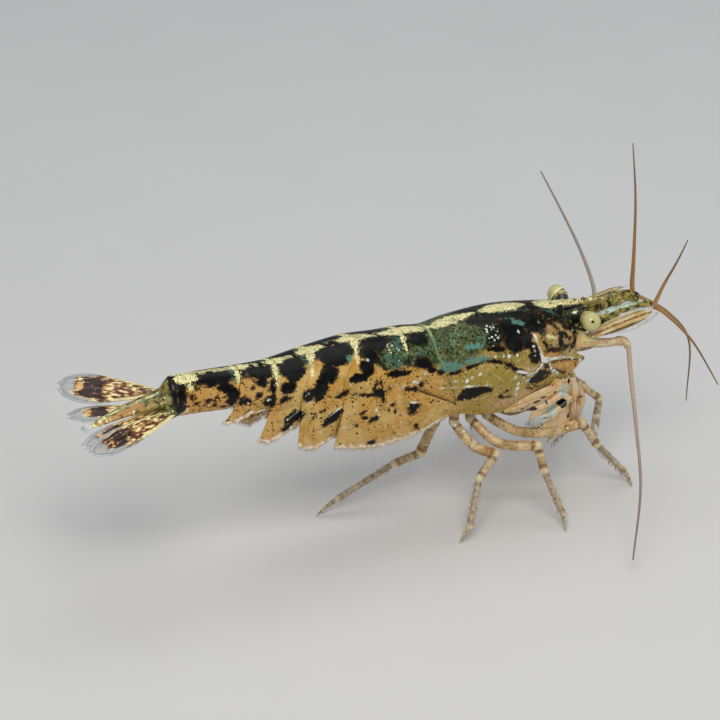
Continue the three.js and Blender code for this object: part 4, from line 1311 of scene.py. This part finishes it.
def add_tail_stem(finish):
    """The sixth ring: a closed barrel with a spur low on each side of its hind end."""
    tail = -20.15
    half_height = 1.17

    def rule(u, v):
        around = v * 2 - 1
        turn = around * math.pi
        x = -18
        z = 0
        for _ in range(NEARINGS):
            z = back_height(x) - half_height + half_height * math.cos(turn)
            front = MARGIN_56(z)
            x = tail + (front + TUCK - tail) * u
        sink = 0.16 * ease(front - x, 0.12, -0.12) + 0.03 * hump(x, tail, 0.12)
        share = 1 - sink
        y = half_width(x) * math.sin(turn) * share
        z = back_height(x) - half_height + half_height * math.cos(turn) * share
        margins = (front - x, x - tail, AWAY_FROM_EDGES)
        return Vector((x, y, z)), (x, abs(turn) * 1.08, 0), margins

    stem = warped(90, 110, rule)
    bmesh.ops.remove_doubles(stem, verts=stem.verts, dist=SEAM)
    bmesh.ops.recalc_face_normals(stem, faces=stem.faces)
    turned_up(stem)
    stamp_pigments(stem)
    made(stem, "pleon_6_ring", finish, ("pleon_6",), wall=TAIL_WALL)
    spurs = []
    for side in SIDES.values():
        places = mirrored([(-19.6, 0.78, 10.35), (-20.0, 0.86, 10.2), (-20.45, 0.95, 10.1)], side)
        spurs.append(rod(places, lambda t: (0.28 * (1 - t) + 0.03, 0.1 * (1 - t) + 0.02),
                         steps=8, sides=10))
    made(gathered(*spurs), "tail_spurs", bristle_finish("pale_spur", PALE, TAN))
    heights = profile([(0, 1.06), (0.5, 1.09), (0.72, 1.02), (1, 0.66)])
    widths = profile([(0, 0.8), (0.5, 0.82), (0.72, 0.8), (1, 0.66)])
    hinge = rod([(-19.3, 0, 10.78), (-19.9, 0, 10.8), (-20.6, 0, 10.74)],
                lambda t: (heights(t), widths(t)), steps=30, sides=36, blunt=0.25)
    made(hinge, "tail_hinge", telson_finish())


def add_flesh():
    """The body under the plates, with a pad under each pair of limbs."""
    places = [(x, 0, (back_height(x) + belly_height(x)) / 2 - 0.1)
              for x in (-20.0, -17, -14, -11, -8, -5, -3, 0, 2.2, 3.9)]
    course = Course(places)

    def thickness(share):
        x = course.at(share * course.length)[0].x
        height = (back_height(x) - belly_height(x)) / 2 - 0.12
        pads = 0.07 * abs(math.sin((x + 5.3) * math.pi / 2.9)) if x < -4 else 0.0
        return height + pads, half_width(x) - 0.28

    core = rod(places, thickness, steps=90, sides=40, blunt=0.5)
    hips = []
    for side in SIDES.values():
        for x in (0.5, -0.35, -1.25, -2.15, -3.05):
            hips.append(rod(mirrored([(x, 0.5, 7.5), (x, 0.52, 6.75)], side),
                            lambda t: (0.42 - 0.08 * t, 0.42 - 0.08 * t), steps=4, sides=12))
    made(gathered(core, *hips), "flesh", flesh_finish())


# ---- Tail fan -------------------------------------------------------------------------------

class Blade:
    """A thin leaf from a root to a tip. Its two sides have one outline, unless two are given."""

    def __init__(self, root, tip, up, inner, outer=None, camber=0.12):
        self.course = Course([root, (Vector(root) + Vector(tip)) / 2, tip], up)
        self.inner = profile(inner)
        self.outer = profile(outer or inner)
        self.camber = camber

    def at(self, share, across):
        """A place on the leaf. across is -1 at its inner edge and 1 at its outer edge."""
        place, way, lift = self.course.at(share * self.course.length)
        half = self.outer(share) if across > 0 else self.inner(share)
        side = way.cross(lift)
        height = self.camber * (1 - across * across) + 0.06 * hump(across * half, 0, 0.08)
        return place + side * across * half + lift * height * ease(half, 0, 0.4), half, way, side

    def form(self, steps=70, turns=40):
        length = self.course.length

        def rule(u, v):
            across = v * 2 - 1
            place, half, _, _ = self.at(u, across)
            from_edge = min(half * (1 - abs(across)), (1 - u) * length)
            return place, (u * length, across * half, 0), (from_edge, u, 0)

        return joined(warped(steps, turns, rule))

    def fringe(self, count, start, length, sides=(-1, 1)):
        """Bristles round the rim from a share of the way along."""
        hairs = []
        for i in range(count):
            for across in sides:
                share = start + (1 - start) * math.sqrt((i + random.random() * 0.6) / count)
                share = min(share, 0.995)
                root, half, way, side = self.at(share, across)
                ahead, _, _, _ = self.at(min(share + 0.01, 1), across)
                behind, _, _, _ = self.at(share - 0.01, across)
                rim = (ahead - behind).normalized()
                out = (side * across - rim * rim.dot(side * across)).normalized()
                heading = (out + way * 0.8 + stray(0.08)).normalized()
                size = length * random.uniform(0.8, 1.1) * ease(share, start - 0.1, start + 0.25)
                patch = (0.1 + 0.8 * share, 0.5 + 0.4 * across * half)
                hairs.append((root - heading * 0.03, heading, way * 0.25, size, SOFT_BRISTLE, patch))
        return hairs


BLADES = {
    "uropod_exopod_right": Blade(
        (-20.5, -1.0, 10.3), (-25.9, -2.72, 10.05), (0, -0.35, 1),
        [(0, 0.16), (0.2, 0.4), (0.55, 0.64), (0.8, 0.58), (0.93, 0.34), (1, 0.05)],
        [(0, 0.2), (0.2, 0.43), (0.55, 0.66), (0.8, 0.58), (0.93, 0.32), (1, 0.05)],
    ),
    "uropod_endopod_right": Blade(
        (-20.6, -0.5, 10.2), (-25.7, -1.3, 9.75), (0, -0.35, 1),
        [(0, 0.25), (0.25, 0.46), (0.6, 0.56), (0.85, 0.42), (1, 0.04)],
    ),
    "uropod_endopod_left": Blade(
        (-20.6, 0.42, 9.95), (-25.35, 1.6, 10.1), (0, -0.25, 1),
        [(0, 0.15), (0.25, 0.38), (0.6, 0.54), (0.85, 0.42), (1, 0.04)],
    ),
    "uropod_exopod_left": Blade(
        (-20.4, 1.15, 10.5), (-25.1, 3.4, 10.98), (0, -0.45, 1),
        [(0, 0.2), (0.2, 0.5), (0.55, 0.88), (0.8, 0.86), (0.94, 0.5), (1, 0.06)],
    ),
}


def add_tail_fan():
    """Four blades, with the tail plate between them and their hips beside its root."""
    finish = fan_finish()
    clear = bristle_finish("rim_bristle", paint(226, 228, 228), paint(206, 208, 206))
    for name, blade in BLADES.items():
        made(blade.form(), name + "_blade", finish, (name,), wall=TAIL_WALL)
        bristles(name + "_fringe", blade.fringe(240, 0.4, 0.24), clear)
    line = [(-19.9, 0, 10.75), (-20.6, 0, 10.76), (-21.6, 0, 10.72), (-23.2, 0, 10.48),
            (-25.0, 0, 10.05)]
    heights = profile([(0, 0.92), (0.05, 0.8), (0.2, 0.4), (0.4, 0.28), (0.9, 0.12), (1, 0.04)])
    widths = profile([(0, 0.82), (0.12, 0.84), (0.3, 0.7), (0.6, 0.52), (0.92, 0.24), (1, 0.06)])
    telson = rod(line, lambda t: (heights(t), widths(t)), steps=80, sides=36, blunt=0.2)
    for vert in telson.verts:
        if vert.normal.z > 0:
            vert.co.z += hump(vert.co.y, 0, 0.14) * ease(vert.co.x, -24.8, -24) * 0.06
            vert.co.z -= hump(abs(vert.co.y), 0.26, 0.1) * ease(vert.co.x, -24.5, -22.5) * 0.06
    made(telson, "telson_blade", telson_finish(), ("telson",))
    hips = []
    for side in SIDES.values():
        places = mirrored([(-19.95, 0.62, 10.45), (-20.6, 0.85, 10.3), (-21.2, 1.0, 10.2)], side)
        hips.append(rod(places, lambda t: (0.4 - 0.16 * t, 0.42 - 0.1 * t), steps=16, sides=20))
    made(gathered(*hips), "fan_hips", telson_finish())
    course = Course(line)
    hairs = []
    for i in range(26):
        angle = math.pi * (i + 0.5) / 26 - math.pi / 2
        root, way, _ = course.at(course.length - 0.15 + 0.12 * math.cos(angle))
        heading = (way + Vector((0, math.sin(angle), 0)) * 0.6 + stray(0.05)).normalized()
        root = root + Vector((0, math.sin(angle) * 0.16, 0))
        hairs.append((root, heading, way * 0.1, 0.42, TAIL_BRISTLE, (0.5 + 0.01 * i, 0.5)))
    bristles("telson_fringe", hairs, clear)


# ---- Head -----------------------------------------------------------------------------------

def add_eyes():
    """The eye balls on their stalks."""
    ball_finish = eye_finish()
    stalk_finish = eyestalk_finish()
    for name, side in SIDES.items():
        middle = Vector((EYE_AT.x - 0.1, EYE_AT.y * side, EYE_AT.z - 0.12))
        gaze = Vector((-0.3, 0.86 * side, 0.4)).normalized()
        across = gaze.orthogonal().normalized()
        over = gaze.cross(across)

        def rule(u, v):
            tilt = math.pi * u
            turn = 2 * math.pi * v
            reach = EYE_RADIUS * (1 + 0.04 * math.cos(tilt))
            off = across * math.cos(turn) + over * math.sin(turn)
            place = middle + (gaze * math.cos(tilt) + off * math.sin(tilt)) * reach
            return place, (tilt * EYE_RADIUS, turn, 0), (0, u, 0)

        made(closed(warped(48, 64, rule)), "eye_ball_" + name, ball_finish, ("eye_" + name,))
        stalk = mirrored([(4.15, 0.55, 10.4), (4.5, 0.95, 10.46), (4.68, 1.36, 10.5),
                          (4.74, 1.56, 10.51)], side)
        widths = profile([(0, 0.3), (0.35, 0.3), (0.7, 0.38), (1, 0.45)])
        made(rod(stalk, lambda t: (widths(t), widths(t)), steps=24, sides=28, blunt=0.1),
             "eyestalk_rod_" + name, stalk_finish, ("eyestalk_" + name,))


def add_antennules():
    """The first feelers' stems, of three joints each."""
    finish = stem_finish()
    for name, side in SIDES.items():
        tip = (9.2, 0.9, 10.14) if side < 0 else (9.25, 0.74, 9.84)
        joints = [
            ([(4.4, 0.6, 9.68), (5.7, 0.7, 9.8), (7.05, 0.74, 9.96)], 0.47, 0.45),
            ([(7.1, 0.74, 9.96), (8.1, 0.82, 10.06)], 0.42, 0.42),
            ([(8.1, 0.82, 10.06), (8.7, 0.84, 10.05), tip], 0.41, 0.3),
        ]
        forms = []
        for number, (places, first, last) in enumerate(joints):
            def thickness(t, first=first, last=last):
                radius = first + (last - first) * t + 0.03 * hump(t, 0.9, 0.1)
                return radius * 0.95, radius
            forms.append(rod(mirrored(places, side), thickness, steps=22, sides=24, number=number,
                             blunt=0.5))
        made(gathered(*forms), "antennule_stem_" + name, finish, ("antennule_" + name,))


WHIPS = {
    "antennule_whip_outer_right": ([(9.1, -1.05, 10.1), (9.35, -1.15, 10.4), (9.9, -1.15, 11.4),
                                    (10.55, -1.35, 12.7), (11.05, -1.6, 14.05)], 0.15, 0.03),
    "antennule_whip_inner_right": ([(9.1, -0.7, 10.0), (9.35, -0.7, 9.9), (10.1, -1.1, 9.4),
                                    (11.35, -2.1, 7.8), (12.33, -3.4, 5.45)], 0.13, 0.03),
    "antennule_whip_outer_left": ([(9.1, 1.0, 10.3), (9.15, 1.12, 10.75), (9.25, 1.2, 12.6),
                                   (9.65, 1.9, 15.6), (9.91, 2.8, 18.45)], 0.15, 0.03),
    "antennule_whip_inner_left": ([(9.1, 0.8, 10.0), (9.35, 0.75, 9.9), (11.5, 0.92, 8.3),
                                   (13.2, 1.25, 5.9), (13.45, 1.7, 1.8)], 0.13, 0.03),
    "antenna_whip_right": ([(6.95, -2.1, 8.62), (6.95, -2.35, 8.55), (6.4, -3.6, 7.5),
                            (5.3, -6.2, 5.6), (4.05, -8.9, 3.4), (1.95, -11.8, 1)], 0.155, 0.05),
    "antenna_whip_left": ([(6.95, 2.1, 8.7), (7.2, 2.35, 8.75), (7.75, 3, 9.7), (7.85, 4.8, 11.4),
                           (7.7, 7, 13.2), (7.54, 9, 14.7)], 0.15, 0.04),
}


def add_whips():
    """The thin ends of both pairs of feelers."""
    rusty = feeler_finish("rusty_whip", paint(176, 130, 72), paint(112, 94, 72))
    pale = feeler_finish("pale_whip", paint(196, 172, 148), paint(138, 126, 114))
    grey = feeler_finish("grey_whip", paint(168, 160, 146), paint(140, 134, 126))
    for name, (places, root, tip) in WHIPS.items():
        length = Course(places).length

        def thickness(t, root=root, tip=tip):
            radius = root + (tip - root) * t ** 0.75
            return radius, radius

        form = rod(places, thickness, steps=round(length / 0.07), sides=10)
        finish = rusty if name.startswith("antennule") else pale
        if name == "antenna_whip_left":
            finish = grey
        made(form, name + "_line", finish, (name,))


def add_antennae():
    """The second feelers' stems, with the broad scale over each."""
    stem = feeler_stem_finish()
    scale = scale_finish()
    soft = bristle_finish("scale_bristle", paint(244, 242, 234), paint(226, 220, 204))
    for name, side in SIDES.items():
        base = rod(mirrored([(4.0, 1.0, 9.1), (4.6, 1.2, 8.98), (5.3, 1.35, 8.86)], side),
                   lambda t: (0.66 - 0.34 * t * t, 0.5 - 0.2 * t * t), steps=18, sides=22, number=0)
        shaft = rod(mirrored([(4.9, 1.28, 8.86), (5.9, 1.55, 8.76), (6.75, 1.8, 8.78)], side),
                    lambda t: (0.3 - 0.07 * t, 0.27 - 0.04 * t), steps=20, sides=18, number=1)
        knuckle = rod(mirrored([(6.62, 1.76, 8.8), (6.95, 1.92, 8.74), (6.98, 2.15, 8.62)], side),
                      lambda t: (0.29 - 0.06 * t, 0.28 - 0.06 * t), steps=10, sides=16, number=2)
        made(gathered(base, shaft, knuckle), "antenna_stem_" + name, stem,
             ("antenna_" + name,))
        blade = Blade(
            (4.9, 1.55 * side, 9.42), (8.75, 1.72 * side, 10.15), (0, 0.5 * side, 1),
            [(0, 0.22), (0.3, 0.36), (0.6, 0.38), (0.85, 0.26), (1, 0.04)],
        )
        made(blade.form(50, 30), "antennal_scale_blade_" + name, scale,
             ("antennal_scale_" + name,), wall=SCALE_WALL)
        bristles("antennal_scale_fringe_" + name, blade.fringe(170, 0.2, 0.42), soft)


# ---- Limbs ----------------------------------------------------------------------------------

def article(places, first, last, number, start, swell=0.05, sides=14, flat=1.0, steps=16):
    """One length of a limb between two joints, a little swollen at its far end."""
    def thickness(t):
        radius = first + (last - first) * t
        radius *= 0.9 + 0.1 * ease(t, 0, 0.16)
        radius += 0.4 * swell * hump(t, 0.95, 0.09)
        return radius, radius * flat
    return rod(places, thickness, steps=steps, sides=sides, number=number, start=start, blunt=0.8)


def spines_on(places, count, radius, length, lean, around, first=0.05, last=0.98):
    """Short stiff bristles along an article, in rows at the given turns round it."""
    course = Course(places)
    hairs = []
    for i in range(count):
        for turn in around:
            share = first + (last - first) * (i + random.uniform(0.2, 0.8)) / count
            place, way, lift = course.at(share * course.length)
            angle = turn + random.uniform(-0.35, 0.35)
            out = lift * math.cos(angle) + way.cross(lift) * math.sin(angle)
            heading = (out + way * lean + stray(0.12)).normalized()
            size = length * random.uniform(0.7, 1.15)
            patch = (0.05 + 0.9 * share, 0.5 + 0.12 * turn / math.pi)
            root = place + out * radius * 0.85
            hairs.append((root, heading, way * 0.15, size, STIFF_BRISTLE, patch))
    return hairs


LEGS = {
    "leg_3_right": [
        (-1.25, -0.47, 6.85), (-1.15, -0.65, 5.4), (0.45, -1.25, 4.33), (4.38, -1.8, 4.15),
        (5.23, -2.1, 2.69), (6.95, -2.5, 0.6), (7.02, -3.2, 0.02),
    ],
    "leg_4_right": [
        (-2.15, -0.47, 6.85), (-2.2, -0.65, 5.45), (-1.2, -2.2, 4.4), (0.69, -3.3, 4.27),
        (0.71, -4, 3.02), (1.28, -5.3, 0.73), (1.09, -6.0, 0.02),
    ],
    "leg_5_right": [
        (-3.05, -0.47, 6.85), (-3.3, -0.75, 5.5), (-2.7, -1.95, 4.5), (-1.6, -2.5, 3.94),
        (-2.95, -3.1, 2.95), (-4.15, -4.3, 0.81), (-4.83, -4.4, 0.02),
    ],
    "leg_3_left": [
        (-1.25, 0.47, 6.85), (-1.15, 0.7, 5.3), (0.4, 1.65, 4.35), (3.3, 3.1, 4.7),
        (4.3, 4.1, 3.8), (6, 6.2, 0.8), (6.38, 6.76, 0.02),
    ],
    "leg_4_left": [
        (-2.15, 0.47, 6.85), (-2, 0.75, 5.5), (-1.2, 2.3, 5.1), (0.6, 4.5, 5.2),
        (1.1, 5.4, 4.1), (2.05, 6.9, 0.9), (2.24, 7.36, 0.02),
    ],
    "leg_5_left": [
        (-3.05, 0.47, 6.85), (-3.3, 0.6, 5.6), (-3.75, 0.9, 4.6), (-4.43, 1.1, 2.97),
        (-5.98, 1.4, 2.5), (-9.29, 1.85, 0.86), (-10.6, 1.94, 0.02),
    ],
}


def add_legs(finish, spine):
    """Six walking legs. Each has four articles, a claw and rows of short bristles."""
    for name, stops in LEGS.items():
        hip, ham, thigh, knee, shin, foot, toe = stops
        lengths = [
            ([hip, ham], 0.3, 0.27, 0.04),
            ([ham, thigh, knee], 0.27, 0.3, 0.03),
            ([knee, shin], 0.26, 0.24, 0.04),
            ([shin, foot], 0.19, 0.17, 0.03),
        ]
        if name == "leg_3_right":
            lengths[1] = ([ham, thigh, (2.3, -1.65, 4.0), knee], 0.27, 0.31, 0.03)
        forms = []
        for number, (places, first, last, swell) in enumerate(lengths):
            forms.append(article(places, first, last, number, 0.0, swell))
        claw = [foot, (Vector(foot) * 0.45 + Vector(toe) * 0.55) + Vector((0, 0, 0.06)), toe]
        forms.append(rod(claw, lambda t: (0.15 - 0.125 * t ** 1.3, 0.14 - 0.12 * t ** 1.3),
                         steps=14, sides=12, number=4, blunt=0.4))
        made(gathered(*forms), name + "_shell", finish, (name,))
        rows = (math.pi * 0.5, math.pi, math.pi * 1.5)
        comb = 22 if name == "leg_3_right" else 14
        hairs = spines_on([shin, foot], comb, 0.17, 0.3, 0.7, rows)
        hairs += spines_on([shin, foot], 7, 0.17, 0.2, 0.9, (0.0,))
        hairs += spines_on([foot, toe], 5, 0.12, 0.16, 0.9, (math.pi,))
        hairs += spines_on([ham, thigh, knee], 3, 0.27, 0.2, 0.8, (math.pi, math.pi * 1.3))
        hairs += spines_on([knee, shin], 2, 0.24, 0.18, 0.9, (math.pi, 0.4))
        bristles(name + "_spines", hairs, spine)


def add_mouth_limbs(finish, mouth, spine, brush):
    """The limbs beside the mouth, and the two pairs of legs that end in pincers."""
    for name, side in SIDES.items():
        jaw = mirrored([(1.4, 0.5, 6.75), (2.1, 0.95, 6.2), (3.1, 1.15, 6.25), (4.1, 1.2, 6.15),
                        (4.4, 1.25, 5.3), (4, 1.05, 4.2), (2.7, 0.85, 2.9)], side)
        forms = [
            article(jaw[:4], 0.34, 0.42, 0, 0, sides=18, steps=20),
            article(jaw[3:6], 0.46, 0.36, 1, 0, 0.03, sides=18),
            article(jaw[5:], 0.34, 0.06, 2, 0, 0.0, sides=14),
        ]
        made(gathered(*forms), "maxilliped_shell_" + name, mouth, ("maxilliped_" + name,))
        hairs = spines_on(jaw[4:], 26, 0.3, 0.4, 0.7, (math.pi * 0.9, math.pi * 1.2, 0.3))
        bristles("maxilliped_bristles_" + name, hairs, spine)

        first = mirrored([(0.5, 0.47, 6.8), (0.6, 0.75, 5.7), (1.6, 1.7, 5.75), (2.9, 1.95, 6.4),
                          (3.45, 1.95, 5.95), (2.3, 1.85, 5.15), (1.3, 1.75, 4.95)], side)
        add_claw_limb("cheliped_1_" + name, first, (0.22, 0.22, 0.2, 0.24), mouth, brush)
        second = mirrored([(-0.35, 0.45, 6.8), (-0.3, 0.45, 5.5), (0.8, 0.43, 5.1),
                           (2.6, 0.42, 5.5), (4.4, 0.44, 6.35), (6, 0.9, 4.9), (5.8, 1, 3.9),
                           (5.6, 1.1, 2.7)], side)
        add_claw_limb("cheliped_2_" + name, second, (0.24, 0.22, 0.21, 0.23), finish, brush)


def add_claw_limb(name, stops, radii, finish, brush):
    """A limb that ends in a small pincer of two spoon-shaped fingers with long brushes."""
    *upper, wrist, palm, tip = stops
    hip, arm, elbow, hand = radii
    forms = [
        article(upper[:2], hip, hip, 0, 0),
        article(upper[1:], arm, arm * 0.9, 1, 0, steps=24),
        article([upper[-1], wrist], arm * 0.95, elbow, 2, 0, 0.05),
        article([wrist, palm], elbow * 0.9, hand, 3, 0, 0.03),
    ]
    palm = Vector(palm)
    way = (Vector(tip) - palm).normalized()
    length = (Vector(tip) - palm).length
    open_way = way.cross(Vector((0, 1, 0.2))).normalized()
    for spread in (-1, 1):
        finger = [
            palm + open_way * 0.08 * spread,
            palm + way * length * 0.5 + open_way * 0.16 * spread,
            palm + way * length * 0.92 + open_way * 0.05 * spread,
        ]
        forms.append(rod(finger, lambda t: (0.14 - 0.09 * t, 0.2 - 0.13 * t), steps=12, sides=12,
                         number=4, up=open_way))
    made(gathered(*forms), name + "_shell", finish, (name,))
    hairs = []
    for _ in range(BRUSH_HAIRS):
        angle = random.uniform(0, 2 * math.pi)
        share = random.uniform(0.45, 0.95)
        out = open_way * math.cos(angle) + way.cross(open_way) * math.sin(angle)
        root = palm + way * length * share + out * 0.12 * (1.1 - share)
        heading = (way + out * random.uniform(0.05, 0.45)).normalized()
        hairs.append((root, heading, out * -0.12, random.uniform(0.45, 0.8), BRUSH_HAIR,
                      (share * 0.8, 0.1 + angle * 0.1)))
    bristles(name + "_brush", hairs, brush)


# The thin side leaves of the mouth, as root, tip, and half widths before and behind the middle.
MOUTH_LEAVES = [
    ((3.2, 1.5, 7.15), (2.9, 1.5, 4.25),
     [(0, 0.35), (0.3, 0.8), (0.6, 1.2), (0.85, 1.0), (1, 0.6)],
     [(0, 0.5), (0.3, 1.1), (0.6, 1.5), (0.85, 1.55), (1, 1.2)]),
    ((3.0, 1.72, 6.8), (-0.55, 1.5, 5.95),
     [(0, 0.25), (0.3, 0.4), (0.7, 0.42), (1, 0.05)],
     [(0, 0.3), (0.5, 0.3), (1, 0.05)]),
    ((3.75, 1.62, 7.1), (3.75, 1.5, 4.35),
     [(0, 0.12), (0.4, 0.4), (0.8, 0.3), (1, 0.1)],
     [(0, 0.12), (0.4, 0.16), (0.8, 0.2), (1, 0.1)]),
    ((2.1, 1.62, 6.5), (1.3, 1.55, 4.6),
     [(0, 0.1), (0.5, 0.5), (0.85, 0.35), (1, 0.08)],
     [(0, 0.1), (0.5, 0.4), (0.85, 0.35), (1, 0.08)]),
]


def add_mouth(mouth):
    """The mass of jaws and the thin leaves beside them, under the head."""
    forms = [rod([(1.6, 0, 6.95), (3.1, 0, 6.95), (4.5, 0, 7.2)],
                 lambda t: (0.5, 0.9 - 0.3 * t), steps=16, sides=20)]
    upper_lip = [(3.9, 0, 7.4), (4.45, 0, 7.2), (4.55, 0, 6.8)]
    forms.append(rod(upper_lip, lambda t: (0.34 - 0.2 * t, 0.42 - 0.2 * t), steps=14, sides=16))
    for side in SIDES.values():
        for i in range(3):
            outward = 0.32 + 0.3 * i
            palp = [(4.2 - 0.5 * i, outward, 6.9), (4.7 - 0.5 * i, outward - 0.1, 6.35),
                    (4.5 - 0.5 * i, outward - 0.2, 5.6 + 0.1 * i)]
            forms.append(rod(mirrored(palp, side), lambda t: (0.17 - 0.1 * t, 0.13 - 0.07 * t),
                             steps=14, sides=12))
        for root, tip, before, behind in MOUTH_LEAVES:
            halves = (before, behind) if side < 0 else (behind, before)
            leaf = Blade(*mirrored([root, tip], side), (0, side, 0), *halves, camber=0.16)
            bm = leaf.form(60, 36)
            bmesh.ops.solidify(bm, geom=bm.faces, thickness=0.1)
            forms.append(bm)
    made(gathered(*forms), "mouth_mass", mouth, ("mouthparts",))


# ---- Swimming legs and the hem's fringe -------------------------------------------------------

def add_swimming_legs(finish, soft):
    """Five pairs of paddles with two leaves each, as (x, y, half width, length, root's height)."""
    pairs = [
        (-5.3, 0.55, 0.36, 2.0, 8.25), (-8.2, 0.55, 0.36, 2.3, 8.4), (-11.4, 0.52, 0.34, 1.8, 8.6),
        (-13.8, 0.42, 0.3, 1.2, 9.0), (-16.1, 0.3, 0.25, 0.58, 9.6),
    ]
    for i, (x, y, half, length, top) in enumerate(pairs):
        for name, side in SIDES.items():
            root = Vector((x, y * side, top))
            knee = root + Vector((-length * 0.1, 0.03 * side, -length * 0.38))
            forms = [rod([root, knee], lambda t: (0.18, half * 0.62), steps=10, sides=14,
                         up=(1, 0, 0))]
            tip = root + Vector((-length / 3, 0, -length))
            hairs = []
            for shift in (-0.5, 0.5):
                blade = Blade(knee + Vector((0, shift * half * 0.7, 0.05)),
                              tip + Vector((0, shift * half, 0)), (1, 0, 0),
                              [(0, 0.06), (0.5, half * 0.42), (0.85, half * 0.3), (1, 0.03)],
                              camber=0.05)
                leaf = blade.form(20, 12)
                bmesh.ops.solidify(leaf, geom=leaf.faces, thickness=0.06)
                forms.append(leaf)
                hairs += blade.fringe(24, 0.1, 0.3)
            node = f"swimmeret_{i + 1}_{name}"
            made(gathered(*forms), node + "_paddle", finish, (node,))
            bristles(node + "_fringe", hairs, soft)


def add_hem_fringe(soft):
    """Short bristles along the hems and hind corners of the side plates."""
    rows = {
        "pleon_2": (-11.1, -4.2, 190, 0.3), "pleon_3": (-13.2, -11.5, 70, 0.28),
        "pleon_4": (-15.6, -13.7, 60, 0.25), "pleon_5": (-17.6, -16.1, 40, 0.2),
        "carapace": (-3.2, 4.2, 120, 0.16),
    }
    for name, (low, high, count, length) in rows.items():
        plate = PLATES[name]
        hairs = []
        for side in SIDES.values():
            for i in range(count):
                x = low + (high - low) * (i + random.random()) / count
                y, z = plate.section(x, side)
                slope = (plate.hem(x + 0.05) - plate.hem(x - 0.05)) / 0.1
                heading = (Vector((slope - 0.25, -0.1 * side, -1)) + stray(0.2)).normalized()
                hairs.append((Vector((x, y - 0.06 * side, z + 0.02)), heading,
                              Vector((-0.2, 0, 0)), length * random.uniform(0.7, 1.1), SOFT_BRISTLE,
                              ((x + 26) / 40, 0.5 + 0.4 * side)))
        bristles(name + "_hem_fringe", hairs, soft)


# ---- Put together ---------------------------------------------------------------------------

def main():
    add_camera()
    add_studio()
    limb = limb_finish()
    mouth = mouth_finish()
    spine = bristle_finish("spine_bristle", paint(186, 164, 126), paint(146, 120, 84))
    brush = bristle_finish("brush_bristle", paint(214, 226, 232), paint(244, 244, 240))
    soft = bristle_finish("soft_bristle", paint(246, 240, 224), paint(232, 212, 176))
    shell = shell_finish()
    add_carapace(shell)
    add_pleon(shell)
    add_tail_stem(shell)
    add_flesh()
    add_tail_fan()
    add_eyes()
    add_antennules()
    add_whips()
    add_antennae()
    add_legs(limb, spine)
    add_mouth_limbs(limb, mouth, spine, brush)
    add_mouth(mouth)
    add_swimming_legs(limb, soft)
    add_hem_fringe(soft)


main()
